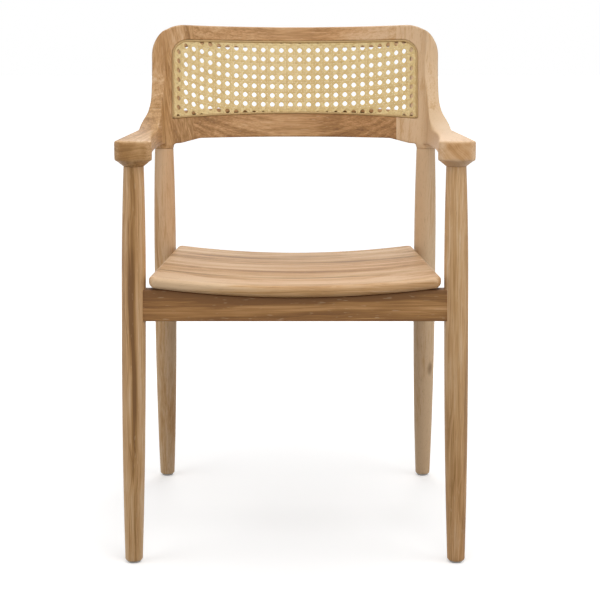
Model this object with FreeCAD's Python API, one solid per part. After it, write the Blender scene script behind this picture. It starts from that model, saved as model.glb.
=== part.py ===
import FreeCAD, Part
import math
import os

# Armchair of solid teak with a woven cane back, as the joiner's separate pieces.
# Millimetres, +Z up, and the chair faces -Y. While it is built, Y is measured from the axis of the
# front legs. At the end the whole chair moves so that the origin is the middle of its footprint.

Vector = FreeCAD.Vector
up = Vector(0, 0, 1)
across = Vector(1, 0, 0)

# Shared workshop values
overrun = 20.0                # how far a cut runs past the wood it removes
glue_clearance = 0.1          # round every tenon and dowel
end_clearance = 1.0           # past the end of every tenon, dowel and screw

# Overall sizes, which the pieces follow
arm_outer_width = 549.0           # over both arms
back_top_height = 858.5
leg_reach_at_shoulder = 425.0     # front leg axis to rear leg axis, under the arms

# Legs, turned
front_leg_inset = 27.5            # outer side of the arm to the leg's axis, at the shoulder
front_leg_splay = 12.0            # foot outside the shoulder
rear_leg_inset = 34.5
rear_leg_splay = 8.0
rear_leg_rake = 45.0              # foot behind the shoulder
front_foot_diameter = 28.0
front_belly_diameter = 37.5
front_neck_diameter = 31.0
rear_foot_diameter = 27.0
rear_belly_diameter = 40.0
rear_neck_diameter = 34.0
foot_chamfer = 4.0
leg_tenon_diameter = 20.0
leg_tenon_length = 26.0
belly_start_share = 0.55          # of the leg's length: thickest from here
belly_end_share = 0.7             # to here

# Glides under the feet
glide_height = 3.0
glide_diameter = 21.0
glide_pin_diameter = 5.0
glide_pin_length = 14.0

# Seat, of boards glued edge to edge, scooped across and sloping back
seat_front_height = 467.0     # top of the front corners
seat_thickness = 18.0
seat_front_lead = 20.0        # front edge ahead of the front leg axis
seat_rear_reach = 15.0        # rear edge behind the rear leg axis, as it is at the shoulder
seat_front_inset = 48.0       # outer side of the arm to the seat's edge, at its front
seat_rear_inset = 57.0        # the same at its rear
seat_scoop = 15.5
seat_drop = 11.0              # from front edge to rear edge
seat_corner_radius = 15.0
seat_edge_bevel = 6.0
seat_board_count = 5

# Rails under the seat
rail_height = 50.0
rail_top_drop = 3.5           # ends of the rails below the edges of the scooped seat
rail_thickness = 24.0
front_rail_lead = 11.0        # front face ahead of the front leg axis
rail_tenon_thickness = 10.0
rail_tenon_shoulder = 9.0     # wood left above and below the tenon
rail_edge_round = 2.5
side_rail_thickness = 20.0
side_rail_height = 45.0
side_rail_inset = 20.0        # seat edge to the middle of the side rail
stub_tenon_length = 11.0
stub_tenon_thickness = 8.0
stub_tenon_height = 24.0
block_leg = 46.0              # corner block, along each rail
block_height = 36.0

# Screws up through the corner blocks into the seat
screw_diameter = 4.0
screw_head_diameter = 8.0
screw_head_height = 3.0
screw_bite = 9.0              # length in the seat
screw_sink = 5.0              # depth of the head in the corner block
screw_place_share = 0.3       # along the corner block's legs

# Arms
arm_thickness = 31.0
arm_collar_height = 9.0
arm_front_lead = 28.0         # front edge ahead of the front leg axis
arm_drop = 183.5              # top of the back down to the top of the arms
arm_width = 57.5              # at the front end
arm_corner_radius = 13.0
arm_sweep_lead = 125.0        # where the top begins to rise, ahead of the rear leg axis
arm_sweep_radius = 130.0
arm_turn_lead = 90.0          # where the outer side begins to turn in, ahead of the rear leg axis
arm_turn_tail = 10.0          # where it is as narrow as the back, ahead of the rear leg axis
front_collar_diameter = 54.0
rear_collar_diameter = 38.0
arm_waist_depth_share = 0.34  # of the arm's length, a point on its curved inner side
arm_waist_share = 0.62        # of the inner side's whole way out, gone by there

# Curved back
back_setback = 73.0           # front face at its middle, at arm height, behind the rear leg axis
back_radius = 374.0           # front face, in plan
back_thickness = 33.0         # at arm height
back_lean = 11.5              # degrees, front face
back_rear_lean = 9.0          # degrees, rear face, so the back thins upwards
back_inset = 14.0             # outer side of the arm to the outer side of the back
stile_width = 21.0            # where the stile meets the arm
back_inner_corner = 41.0
back_outer_corner = 30.0
back_joint_lead = 38.0        # joint of arm and stile, ahead of the rear leg axis
back_top_corner = 55.0
crest_dip = 3.0               # top edge lower in the middle than at the corners
stile_lean = 3.0              # degrees, the forward edge of the stiles
rail_joint_inset = 38.0       # side of the cane to the joints of the rails with the stiles
lower_rail_lift = 8.0         # underside of the lower rail above the underside of the arms
stile_foot_width = 84.5       # outer side of the back to the raised underside of the lower rail
lower_rail_ramp = 34.0

# Cane panel in its rebate
crest_height = 26.5           # top edge of the back down to the cane, at the sides
cane_rise = 14.0              # cane above arm height, at the lower corners
cane_inset = 35.5             # outer side of the back to the cane
cane_corner_radius = 28.0
cane_top_dip = 1.8
cane_bottom_bow = 6.0
ledge_width = 13.0            # wood behind the cane all round
ledge_depth = 2.4
cane_thickness = 1.8
groove_width = 4.6
groove_depth = 8.0
cane_lip = 1.0                # cane turned down into the groove
spline_proud = 0.8
cane_pitch = 17.1
cane_hole = 9.6               # across the flats of an eight-sided gap
cane_hole_margin = 2.0        # cane left between a gap and the groove

# Loose tenons across the joints of the back
loose_tenon_length = 34.0
loose_tenon_thickness = 8.0
arm_tenon_height = 34.0
crest_tenon_width = 15.0
lower_tenon_height = 18.0

# Widths that follow
front_spread_at_shoulder = arm_outer_width - 2 * front_leg_inset
front_spread_at_foot = front_spread_at_shoulder + 2 * front_leg_splay
rear_spread_at_shoulder = arm_outer_width - 2 * rear_leg_inset
rear_spread_at_foot = rear_spread_at_shoulder + 2 * rear_leg_splay
seat_front_width = arm_outer_width - 2 * seat_front_inset
seat_rear_width = arm_outer_width - 2 * seat_rear_inset
seat_widest = max(seat_front_width, seat_rear_width)
arm_inner_width = arm_outer_width - 2 * arm_width
back_outer_width = arm_outer_width - 2 * back_inset
back_inner_width = back_outer_width - 2 * stile_width
cane_width = back_outer_width - 2 * cane_inset
lower_rail_half_span = back_outer_width / 2 - stile_foot_width

# Depths that follow, from the front leg axis
leg_reach_at_foot = leg_reach_at_shoulder + rear_leg_rake
seat_depth = seat_front_lead + leg_reach_at_shoulder + seat_rear_reach
arm_sweep_start = leg_reach_at_shoulder - arm_sweep_lead
arm_turn_start = leg_reach_at_shoulder - arm_turn_lead
arm_turn_end = leg_reach_at_shoulder - arm_turn_tail
back_joint_depth = leg_reach_at_shoulder - back_joint_lead
back_depth = leg_reach_at_shoulder + back_setback

# Heights and places that follow
arm_top = back_top_height - arm_drop
arm_underside = arm_top - arm_thickness
shoulder_height = arm_underside - arm_collar_height      # floor to the collars under the arms
arc_centre_depth = back_depth - back_radius
rail_joint_angle = math.degrees(math.asin((cane_width / 2 - rail_joint_inset) / back_radius))
seat_slope = math.degrees(math.atan2(seat_drop, seat_depth))
seat_underside = seat_front_height - seat_thickness
cane_top = back_top_height - crest_height
cane_bottom = arm_top + cane_rise
lower_rail_underside = arm_underside + lower_rail_lift
back_height = back_top_height - arm_underside
far_depth = back_depth + back_thickness + back_height


def face_of(edges):
    return Part.Face(Part.Wire(Part.__sortEdges__(edges)))


def line(start, end):
    return Part.LineSegment(start, end).toShape()


def arc(start, middle, end):
    return Part.Arc(start, middle, end).toShape()


def corner_arc(start, corner, end):
    """A quarter circle that rounds off a square corner."""
    slack_share = 1 - math.sqrt(1 / 2)
    return arc(start, corner + (start + end - corner * 2) * slack_share, end)


def bar(low, high):
    """A square-edged bar between two corners."""
    size = high - low
    return Part.makeBox(size.x, size.y, size.z, low)


def column(corners, height):
    """An upright block on a plan of straight sides."""
    return Part.Face(Part.makePolygon(corners + corners[:1])).extrude(up * height)


def round_bar(diameter, start, end):
    along = end - start
    return Part.makeCylinder(diameter / 2, along.Length, start, along)


def mirrored(shape):
    return shape.mirror(Vector(0, 0, 0), across)


def tilted(shape, lean, depth):
    """Leans a shape back about the level line at arm height and the given depth."""
    leaning = shape.copy()
    leaning.rotate(Vector(0, depth, arm_top), across, -lean)
    return leaning


def softened(solid, edges, radius):
    return solid.makeFillet(radius, edges)


def one_solid(shape):
    return max(shape.Solids, key=lambda solid: solid.Volume)


# Legs

def leg_points(row):
    """Foot and shoulder of a right-hand leg, on its axis."""
    if row == "front":
        foot = Vector(front_spread_at_foot / 2, 0, glide_height)
        shoulder = Vector(front_spread_at_shoulder / 2, 0, shoulder_height)
    else:
        foot = Vector(rear_spread_at_foot / 2, leg_reach_at_foot, glide_height)
        shoulder = Vector(rear_spread_at_shoulder / 2, leg_reach_at_shoulder, shoulder_height)
    return foot, shoulder


def leg_axis_at(row, height):
    foot, shoulder = leg_points(row)
    share = (height - foot.z) / (shoulder.z - foot.z)
    return foot + (shoulder - foot) * share


def swell_arc(belly, end):
    """A half section's arc that leaves the belly along the leg and closes in to an end."""
    run, fall = abs(end.z - belly.z), belly.x - end.x
    radius = (run ** 2 + fall ** 2) / (2 * fall)
    turn = math.asin(run / radius) / 2
    rise = math.copysign(radius * math.sin(turn), end.z - belly.z)
    middle = Vector(belly.x - radius * (1 - math.cos(turn)), 0, belly.z + rise)
    return arc(belly, middle, end)


def leg_profile(row, length):
    """Half section of a turned leg: bevelled foot, swelling belly and neck, run past the shoulder."""
    if row == "front":
        diameters = (front_foot_diameter, front_belly_diameter, front_neck_diameter)
    else:
        diameters = (rear_foot_diameter, rear_belly_diameter, rear_neck_diameter)
    foot_radius, belly_radius, neck_radius = [diameter / 2 for diameter in diameters]

    def at(radius, height):
        return Vector(radius, 0, height)

    low, high = -foot_chamfer / 2, length + overrun
    toe, foot = at(foot_radius - foot_chamfer, low), at(foot_radius, low + foot_chamfer)
    belly_start = at(belly_radius, belly_start_share * length)
    belly_end = at(belly_radius, belly_end_share * length)
    neck, tip = at(neck_radius, length), at(neck_radius, high)
    return face_of([line(at(0, low), toe), line(toe, foot), swell_arc(belly_start, foot),
                    line(belly_start, belly_end), swell_arc(belly_end, neck), line(neck, tip),
                    line(tip, at(0, high)), line(at(0, high), at(0, low))])


def leg_blank(row):
    """A turned leg on its slanted axis, cut level at floor and shoulder, without joints."""
    foot, shoulder = leg_points(row)
    along = shoulder - foot
    turned = leg_profile(row, along.Length).revolve(Vector(0, 0, 0), up, 360)
    turned.Placement = FreeCAD.Placement(foot, FreeCAD.Rotation(up, along))
    reach = rear_spread_at_foot + leg_reach_at_foot + front_spread_at_foot
    level = bar(Vector(-reach, -reach, foot.z), Vector(reach, reach, shoulder.z))
    return one_solid(turned.common(level))


def leg_tenon(row, clearance, end):
    foot, shoulder = leg_points(row)
    along = (shoulder - foot).normalize()
    start = shoulder - along * (leg_tenon_diameter / 2)
    top = shoulder + along * (leg_tenon_length + end)
    return round_bar(leg_tenon_diameter + 2 * clearance, start, top)


def glide_pin(row, clearance, end):
    foot, _ = leg_points(row)
    top = foot + up * (glide_pin_length + end)
    return round_bar(glide_pin_diameter + 2 * clearance, foot, top)


def leg(row, blank, rail_mortise):
    with_tenon = blank.fuse(leg_tenon(row, 0, 0)).removeSplitter()
    return one_solid(with_tenon.cut(rail_mortise).cut(glide_pin(row, glue_clearance, end_clearance)))


def glide(row):
    """A round glide with its pin, under a right-hand foot."""
    foot, _ = leg_points(row)
    disc = round_bar(glide_diameter, foot - up * glide_height, foot)
    return disc.fuse(glide_pin(row, 0, 0)).removeSplitter()


# Seat and the rails under it

def sloped(shape):
    """Tips a level shape about the seat's front edge, down to the rear."""
    tipped = shape.copy()
    tipped.rotate(Vector(0, -seat_front_lead, seat_front_height), across, -seat_slope)
    return tipped


def underside_at(depth):
    """Height of the seat's underside at its side edges, at a distance from the front leg axis."""
    return seat_underside - (depth + seat_front_lead) * seat_drop / seat_depth


def scooped_slab(low, high):
    """A slab as wide as the seat, dished across, between two heights at its side edges."""
    half = seat_widest / 2
    front = -seat_front_lead

    def at(x, z):
        return Vector(x, front, z)

    dishes = [arc(at(-half, z), at(0, z - seat_scoop), at(half, z)) for z in (low, high)]
    sides = [line(at(x, low), at(x, high)) for x in (-half, half)]
    section = face_of(dishes + sides)
    return section.extrude(Vector(0, seat_depth, 0))


def seat_plan():
    """The seat from above: a trapezium with rounded corners."""
    front, rear = seat_front_width / 2, seat_rear_width / 2
    near, far = -seat_front_lead, seat_depth - seat_front_lead
    low = seat_underside - seat_scoop - overrun
    corners = [Vector(-front, near, low), Vector(front, near, low),
               Vector(rear, far, low), Vector(-rear, far, low)]
    block = column(corners, seat_scoop + seat_thickness + 2 * overrun)
    upright = [edge for edge in block.Edges if edge.BoundBox.ZLength > seat_thickness]
    return softened(block, upright, seat_corner_radius)


def seat():
    slab = one_solid(scooped_slab(seat_underside, seat_front_height).common(seat_plan()))
    rims = [edge for edge in slab.Edges if not is_upright(edge)]
    return sloped(slab.makeChamfer(seat_edge_bevel, rims))


def is_upright(edge):
    ends = [vertex.Point for vertex in edge.Vertexes]
    return len(ends) == 2 and abs(ends[1].z - ends[0].z) > seat_thickness / 2


def seat_boards(whole):
    """The seat cut into boards that run from side to side."""
    width = seat_depth / seat_board_count
    half = seat_widest
    boards = []
    for place in range(seat_board_count):
        near = -seat_front_lead + place * width
        far = near + width
        if place == 0:
            near = near - overrun
        if place == seat_board_count - 1:
            far = far + overrun
        low = seat_underside - seat_scoop - overrun
        span = sloped(bar(Vector(-half, near, low), Vector(half, far, seat_front_height + overrun)))
        boards.append(one_solid(whole.common(span)))
    return boards


def above_seat_underside():
    return sloped(scooped_slab(seat_underside, seat_front_height + rail_height))


def rail_box(row):
    """Low and high corners of the front or rear rail, run to the axes of its two legs."""
    if row == "front":
        near = -front_rail_lead
    else:
        middle = leg_axis_at("rear", underside_at(leg_reach_at_shoulder) - rail_height / 2)
        near = middle.y - rail_thickness / 2
    far = near + rail_thickness
    high = underside_at((near + far) / 2) - rail_top_drop
    half = leg_axis_at(row, high - rail_height / 2).x
    return Vector(-half, near, high - rail_height), Vector(half, far, high)


def rail_tenon(row, clearance, end):
    """One bar through the rail whose ends are its two tenons."""
    low, high = rail_box(row)
    middle = (low.y + high.y) / 2
    half = rail_tenon_thickness / 2 + clearance
    inset = rail_tenon_shoulder - clearance
    return bar(Vector(low.x - end, middle - half, low.z + inset),
               Vector(high.x + end, middle + half, high.z - inset))


def cross_rail(row, legs, mortises):
    low, high = rail_box(row)
    blank = bar(low, high)
    lower_edges = [edge for edge in blank.Edges
                   if edge.BoundBox.ZMax < low.z + rail_edge_round and edge.BoundBox.XLength > rail_height]
    blank = softened(blank, lower_edges, rail_edge_round)
    coped = blank.cut(legs[0]).cut(legs[1])
    with_tenons = one_solid(coped.fuse(rail_tenon(row, 0, 0)).removeSplitter())
    return one_solid(with_tenons.cut(above_seat_underside()).cut(mortises))


def side_rail_middle(depth):
    """Distance of the right-hand side rail's middle line from the chair's middle."""
    share = (depth + seat_front_lead) / seat_depth
    edge = seat_front_width + share * (seat_rear_width - seat_front_width)
    return edge / 2 - side_rail_inset


def between_rails():
    near = rail_box("front")[1].y
    far = rail_box("rear")[0].y
    return near, far


def side_rail_blank():
    """A slim rail between the cross rails: its lower edge slopes with the seat and its top is dished."""
    near, far = between_rails()
    half = side_rail_thickness / 2
    low = seat_underside - side_rail_height
    lowest = low - seat_drop - overrun
    plan = [Vector(side_rail_middle(depth) + side * half, depth, lowest)
            for depth, side in ((near, -1), (near, 1), (far, 1), (far, -1))]
    blank = column(plan, seat_underside - lowest)
    below = sloped(bar(Vector(0, -seat_front_lead, lowest - overrun),
                       Vector(seat_widest, seat_depth, low)))
    return one_solid(blank.cut(below).cut(above_seat_underside()))


def stub_tenons(clearance, end):
    """The two stub tenons of the right-hand side rail, into the front and rear rails."""
    tenons = []
    for face, outward in zip(between_rails(), (-1, 1)):
        middle = side_rail_middle(face)
        height = underside_at(face) - side_rail_height / 2
        half = stub_tenon_thickness / 2 + clearance
        tall = stub_tenon_height / 2 + clearance
        depths = sorted((face - outward * stub_tenon_length, face + outward * (stub_tenon_length + end)))
        tenons.append(bar(Vector(middle - half, depths[0], height - tall),
                          Vector(middle + half, depths[1], height + tall)))
    return tenons[0].fuse(tenons[1])


def side_rail():
    return one_solid(side_rail_blank().fuse(stub_tenons(0, 0)).removeSplitter())


def block_corner(row):
    """The inner corner between a cross rail and the right-hand side rail, and the way along the side rail."""
    near, far = between_rails()
    depth, inward = (near, 1) if row == "front" else (far, -1)
    corner = side_rail_middle(depth) - side_rail_thickness / 2
    along = side_rail_middle(depth + inward * block_leg) - side_rail_middle(depth)
    return Vector(corner, depth, underside_at(depth) - block_height), Vector(along, inward * block_leg, 0)


def corner_block_blank(row):
    corner, along = block_corner(row)
    block = column([corner, corner + along, corner - across * block_leg], rail_height)
    return one_solid(block.cut(above_seat_underside()))


def screw_place(row):
    """Lower end of the screw's head in a right-hand corner block, and the height of the seat above it."""
    corner, along = block_corner(row)
    inward = Vector(0, along.y, 0).normalize()
    reach = block_leg * screw_place_share
    place = corner + (inward - across) * reach
    dish = seat_scoop * (1 - (2 * place.x / seat_widest) ** 2)
    return place + up * screw_sink, underside_at(place.y) - dish


def screw(row, clearance, end, access):
    """A pan-headed screw up through a corner block into the seat, or with clearances the hole for it."""
    head, seat_height = screw_place(row)
    neck = head + up * screw_head_height
    tip = Vector(head.x, head.y, seat_height + screw_bite + end)
    pan = round_bar(screw_head_diameter + 2 * clearance, head - up * access, neck)
    return pan.fuse(round_bar(screw_diameter + 2 * clearance, head, tip)).removeSplitter()


def screw_hole(row):
    return screw(row, glue_clearance, end_clearance, overrun)


def corner_block(row):
    return one_solid(corner_block_blank(row).cut(screw_hole(row)))


# Arms

def sweep_height(depth):
    """Top of the arm at a depth: level, then rising on an arc."""
    run = max(depth - arm_sweep_start, 0)
    return arm_top + arm_sweep_radius - math.sqrt(arm_sweep_radius ** 2 - run ** 2)


def arm_plan():
    """The right-hand arm from above, with the stile's first stretch: a rounded paddle that narrows."""
    outer, inner = arm_outer_width / 2, arm_inner_width / 2
    stile_outer, stile_inner = back_outer_width / 2, back_inner_width / 2
    near, far, radius = -arm_front_lead, back_joint_depth, arm_corner_radius

    def at(x, y):
        return Vector(x, y, arm_underside)

    inner_side, inner_front = at(inner, near + radius), at(inner + radius, near)
    outer_side, outer_front = at(outer, near + radius), at(outer - radius, near)
    waist = at(inner + arm_waist_share * (stile_inner - inner), near + arm_waist_depth_share * (far - near))
    turn_start, turn_end = at(outer, arm_turn_start), at(stile_outer, arm_turn_end)
    half_way = (turn_start + turn_end) / 2
    bulge = across * ((outer - stile_outer) / 8)
    first_middle = (turn_start + half_way) / 2 + bulge
    second_middle = (half_way + turn_end) / 2 - bulge
    return face_of([arc(inner_side, waist, at(stile_inner, far)),
                    corner_arc(inner_side, at(inner, near), inner_front),
                    line(inner_front, outer_front),
                    corner_arc(outer_front, at(outer, near), outer_side),
                    line(outer_side, turn_start),
                    arc(turn_start, first_middle, half_way),
                    arc(half_way, second_middle, turn_end),
                    line(turn_end, at(stile_inner, arm_turn_end)),
                    line(at(stile_inner, arm_turn_end), at(stile_inner, far))])


def side_prism(edges, half_width):
    """An outline seen from the side, run through the whole width of the chair."""
    return face_of(edges).translated(across * -half_width).extrude(across * 2 * half_width)


def arm_side():
    """The arm from the side: level top with the start of the sweep up to the back."""
    near, far = -arm_front_lead - overrun, back_joint_depth
    middle = (arm_sweep_start + far) / 2
    low, top = arm_underside, arm_top
    front_low, front_top = Vector(0, near, low), Vector(0, near, top)
    start = Vector(0, arm_sweep_start, top)
    end = Vector(0, far, sweep_height(far))
    end_low = Vector(0, far, low)
    return side_prism([line(front_low, front_top), line(front_top, start),
                       arc(start, Vector(0, middle, sweep_height(middle)), end),
                       line(end, end_low), line(end_low, front_low)], arm_outer_width)


def collar(row, top_diameter, bottom_diameter):
    """The tapering collar between an arm or stile and its leg."""
    centre = leg_points(row)[1]
    return Part.makeCone(bottom_diameter / 2, top_diameter / 2, arm_collar_height, centre)


def arm():
    blank = one_solid(arm_plan().extrude(up * back_height).common(arm_side()))
    whole = blank.fuse(collar("front", front_collar_diameter, front_neck_diameter)).removeSplitter()
    whole = whole.cut(leg_tenon("front", glue_clearance, end_clearance))
    return one_solid(whole.cut(arm_tenon(glue_clearance, end_clearance)))


def arm_tenon(clearance, end):
    """The loose tenon from the right-hand arm into its stile, or with clearances its mortise."""
    x = (back_outer_width + back_inner_width) / 4
    z = (sweep_height(back_joint_depth) + arm_underside) / 2
    half = Vector(loose_tenon_thickness / 2 + clearance, loose_tenon_length / 2 + end,
                  arm_tenon_height / 2 + clearance)
    centre = Vector(x, back_joint_depth, z)
    return bar(centre - half, centre + half)


# Curved back: stiles, crest rail and lower rail worked as one form, then parted at the joints

def bent_plan(radius, corner_radius, width):
    """From above: a wide arc whose ends turn forwards round two corners."""
    half = width / 2
    lift = radius - corner_radius
    angle = math.asin((half - corner_radius) / lift)
    corner_depth = arc_centre_depth + lift * math.cos(angle)
    between = (angle + math.pi / 2) / 2

    def on(centre_x, centre_depth, size, turn):
        return Vector(centre_x + size * math.sin(turn), centre_depth + size * math.cos(turn), arm_top)

    right = half - corner_radius
    tangent = on(0, arc_centre_depth, radius, angle)
    middle = on(right, corner_depth, corner_radius, between)
    straight = Vector(half, corner_depth, arm_top)
    front = Vector(half, 0, arm_top)

    def flip(point):
        return Vector(-point.x, point.y, point.z)

    edges = [arc(tangent, on(0, arc_centre_depth, radius, 0), flip(tangent)), line(front, flip(front))]
    for side in (lambda point: point, flip):
        edges.append(arc(side(tangent), side(middle), side(straight)))
        edges.append(line(side(straight), side(front)))
    return face_of(edges)


def bent_block(radius, corner_radius, width, lean, depth):
    """The bent plan carried up and down along a leaning line."""
    plan = bent_plan(radius, corner_radius, width).translated(up * -back_height)
    return tilted(plan.extrude(up * 3 * back_height), lean, depth)


def back_side():
    """The back from the side: the sweep rising from the arm into the leaning stile."""
    near, top, low = back_joint_depth, back_top_height, arm_underside
    turn = math.radians(90 - stile_lean)
    sweep_end = Vector(0, arm_sweep_start + arm_sweep_radius * math.sin(turn),
                       arm_top + arm_sweep_radius * (1 - math.cos(turn)))
    start = Vector(0, near, sweep_height(near))
    middle_depth = (near + sweep_end.y) / 2
    middle = Vector(0, middle_depth, sweep_height(middle_depth))
    lean = math.tan(math.radians(stile_lean))
    front_top = Vector(0, sweep_end.y + (top - sweep_end.z) * lean, top)
    near_low = Vector(0, near, low)
    far_low, far_top = Vector(0, far_depth, low), Vector(0, far_depth, top)
    edges = [line(near_low, start), arc(start, middle, sweep_end), line(sweep_end, front_top),
             line(front_top, far_top), line(far_top, far_low), line(far_low, near_low)]
    return side_prism(edges, back_outer_width)


def front_prism(edges):
    """An outline seen from the front, run through the whole depth of the chair."""
    return face_of(edges).extrude(Vector(0, far_depth, 0))


def back_front():
    """The back from the front: rounded top corners, a dipped top and a lower rail lifted in the middle."""
    half, radius = back_outer_width / 2, back_top_corner
    top, low, lifted = back_top_height, arm_underside, lower_rail_underside
    inner, outer = lower_rail_half_span, lower_rail_half_span + lower_rail_ramp

    def at(x, z):
        return Vector(x, 0, z)

    edges = [arc(at(radius - half, top), at(0, top - crest_dip), at(half - radius, top)),
             line(at(-inner, lifted), at(inner, lifted))]
    for side in (-1, 1):
        edges.append(corner_arc(at(side * (half - radius), top), at(side * half, top),
                                at(side * half, top - radius)))
        edges.append(line(at(side * half, top - radius), at(side * half, low)))
        edges.append(line(at(side * half, low), at(side * outer, low)))
        edges.append(line(at(side * outer, low), at(side * inner, lifted)))
    return front_prism(edges)


def cane_edges(inset):
    """Outline of the cane panel from the front, drawn in from the outer edge of its groove by an inset."""
    half = cane_width / 2 - inset
    low, top, radius = cane_bottom + inset, cane_top - inset, cane_corner_radius - inset

    def at(x, z):
        return Vector(x, 0, z)

    edges = [arc(at(-half, low), at(0, low + cane_bottom_bow), at(half, low)),
             arc(at(radius - half, top), at(0, top - cane_top_dip), at(half - radius, top))]
    for side in (-1, 1):
        edges.append(line(at(side * half, low), at(side * half, top - radius)))
        edges.append(corner_arc(at(side * half, top - radius), at(side * half, top),
                                at(side * (half - radius), top)))
    return edges


def cane_outline(inset):
    return front_prism(cane_edges(inset))


def back_cylinder(radius):
    """A full cylinder about the axis of the back's front face."""
    base = Vector(0, arc_centre_depth, arm_top - back_height)
    return tilted(Part.makeCylinder(radius, 3 * back_height, base), back_lean, back_depth)


def bent_back():
    """The back between its outer and inner faces, with the arms' narrowing carried into the stiles."""
    outer = bent_block(back_radius + back_thickness, back_outer_corner, back_outer_width, back_rear_lean,
                       back_depth + back_thickness)
    inner = bent_block(back_radius, back_inner_corner, back_inner_width, back_lean, back_depth)
    side = back_side()
    flare = arm_plan().extrude(up * back_height).common(side)
    whole = outer.common(side).common(back_front()).fuse([flare, mirrored(flare)])
    return one_solid(whole.cut(inner).removeSplitter())


def grooved_back():
    """The bent back with the rebate, groove and opening for the cane."""
    rebate = cane_outline(0).common(back_cylinder(back_radius + ledge_depth))
    ring = cane_outline(0).cut(cane_outline(groove_width))
    groove = ring.common(back_cylinder(back_radius + groove_depth))
    return bent_back().cut(rebate).cut(groove).cut(cane_outline(ledge_width))


def middle_wedge():
    """The part of the back between the two joint planes."""
    reach = 2 * far_depth
    angle = math.radians(rail_joint_angle)
    tip = Vector(0, arc_centre_depth, arm_top - back_height)
    plan = [tip]
    for side in (-1, 1):
        plan.append(tip + Vector(side * reach * math.sin(angle), reach * math.cos(angle), 0))
    return tilted(column(plan, 3 * back_height), back_lean, back_depth)


def joint_tenon(depth, height, width, tall, clearance, end):
    """A loose tenon across the right-hand joint plane, at a depth behind the back's front face."""
    radius = back_radius + depth
    half = Vector(loose_tenon_length / 2 + end, width / 2 + clearance, tall / 2 + clearance)
    centre = Vector(0, arc_centre_depth + radius, leaning_height(height))
    tenon = bar(centre - half, centre + half)
    tenon.rotate(Vector(0, arc_centre_depth, 0), up, -rail_joint_angle)
    return tilted(tenon, back_lean, back_depth)


def leaning_height(height):
    """Distance up the leaning back at which a joint tenon lies at a true height."""
    angle = math.radians(rail_joint_angle)
    forward = (back_radius + back_thickness / 2) * math.cos(angle) + arc_centre_depth - back_depth
    lean = math.radians(back_lean)
    return arm_top + (height - arm_top + forward * math.sin(lean)) / math.cos(lean)


def thickness_at(height):
    """Thickness of the back, which thins upwards because its two faces lean differently."""
    taper = math.tan(math.radians(back_lean)) - math.tan(math.radians(back_rear_lean))
    return back_thickness - (height - arm_top) * taper


def crest_tenon(clearance, end):
    height = (back_top_height + cane_top) / 2
    depth = thickness_at(height) / 2
    return joint_tenon(depth, height, crest_tenon_width, loose_tenon_thickness, clearance, end)


def lower_tenon(clearance, end):
    height = (cane_bottom + lower_rail_underside) / 2
    depth = back_thickness / 2
    return joint_tenon(depth, height, loose_tenon_thickness, lower_tenon_height, clearance, end)


def back_pieces():
    """Crest rail, lower rail and right-hand stile, with their joints."""
    whole = grooved_back()
    wedge = middle_wedge()
    rails = sorted(whole.common(wedge).Solids, key=lambda solid: solid.CenterOfMass.z)
    lower, crest = rails[0], rails[-1]
    stile = max(whole.cut(wedge).Solids, key=lambda solid: solid.CenterOfMass.x)
    stile = stile.fuse(collar("rear", rear_collar_diameter, rear_neck_diameter)).removeSplitter()
    stile = stile.cut(leg_tenon("rear", glue_clearance, end_clearance))
    crest_mortise = crest_tenon(glue_clearance, end_clearance)
    lower_mortise = lower_tenon(glue_clearance, end_clearance)
    for mortise in (arm_tenon(glue_clearance, end_clearance), crest_mortise, lower_mortise):
        stile = stile.cut(mortise)
    crest = crest.cut(crest_mortise).cut(mirrored(crest_mortise))
    lower = lower.cut(lower_mortise).cut(mirrored(lower_mortise))
    return one_solid(crest), one_solid(lower), one_solid(stile)


# Cane and its spline

def curved_layer(near, far):
    """A layer of the curved back between two depths behind its front face."""
    return back_cylinder(back_radius + far).cut(back_cylinder(back_radius + near))


def cane_gap(x, z):
    """One eight-sided gap of the weave, seen from the front, as a wire."""
    radius = cane_hole / 2 / math.cos(math.pi / 8)
    corners = []
    for step in range(8):
        turn = math.pi / 8 + step * math.pi / 4
        corners.append(Vector(x + radius * math.cos(turn), 0, z + radius * math.sin(turn)))
    return Part.makePolygon(corners + corners[:1])


def cane_gaps():
    """The rows and columns of gaps that lie whole inside the groove."""
    inset = groove_width + cane_hole_margin + cane_hole / 2
    half = cane_width / 2 - inset
    low = cane_bottom + cane_bottom_bow + inset
    high = cane_top - cane_top_dip - inset
    row_step = cane_pitch * math.cos(math.radians(back_lean))
    row_count = int((high - low) / row_step) + 1
    columns = int(math.asin(half / back_radius) * back_radius / cane_pitch + 1 / 2)
    middle = (low + high) / 2
    corner_x, corner_z = cane_width / 2 - cane_corner_radius, cane_top - cane_corner_radius
    corner_room = max(cane_corner_radius - inset, 0)
    gaps = []
    for row in range(row_count):
        z = middle + (row - (row_count - 1) / 2) * row_step
        for column in range(-columns, columns):
            x = back_radius * math.sin((column + 1 / 2) * cane_pitch / back_radius)
            past_corner = math.hypot(max(abs(x) - corner_x, 0), max(z - corner_z, 0))
            if past_corner <= corner_room:
                gaps.append(cane_gap(x, z))
    return gaps


def strip_layer(near, far):
    """A layer like the curved one, but of flat strips, one to each column of gaps."""
    step = cane_pitch / back_radius
    count = int(math.pi / 3 / step)
    plan = []
    for depth, places in ((near, range(-count, count + 1)), (far, range(count, -count - 1, -1))):
        radius = back_radius + depth
        for place in places:
            turn = place * step
            plan.append(Vector(radius * math.sin(turn), arc_centre_depth + radius * math.cos(turn),
                               arm_top - back_height))
    return tilted(column(plan, 3 * back_height), back_lean, back_depth)


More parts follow.
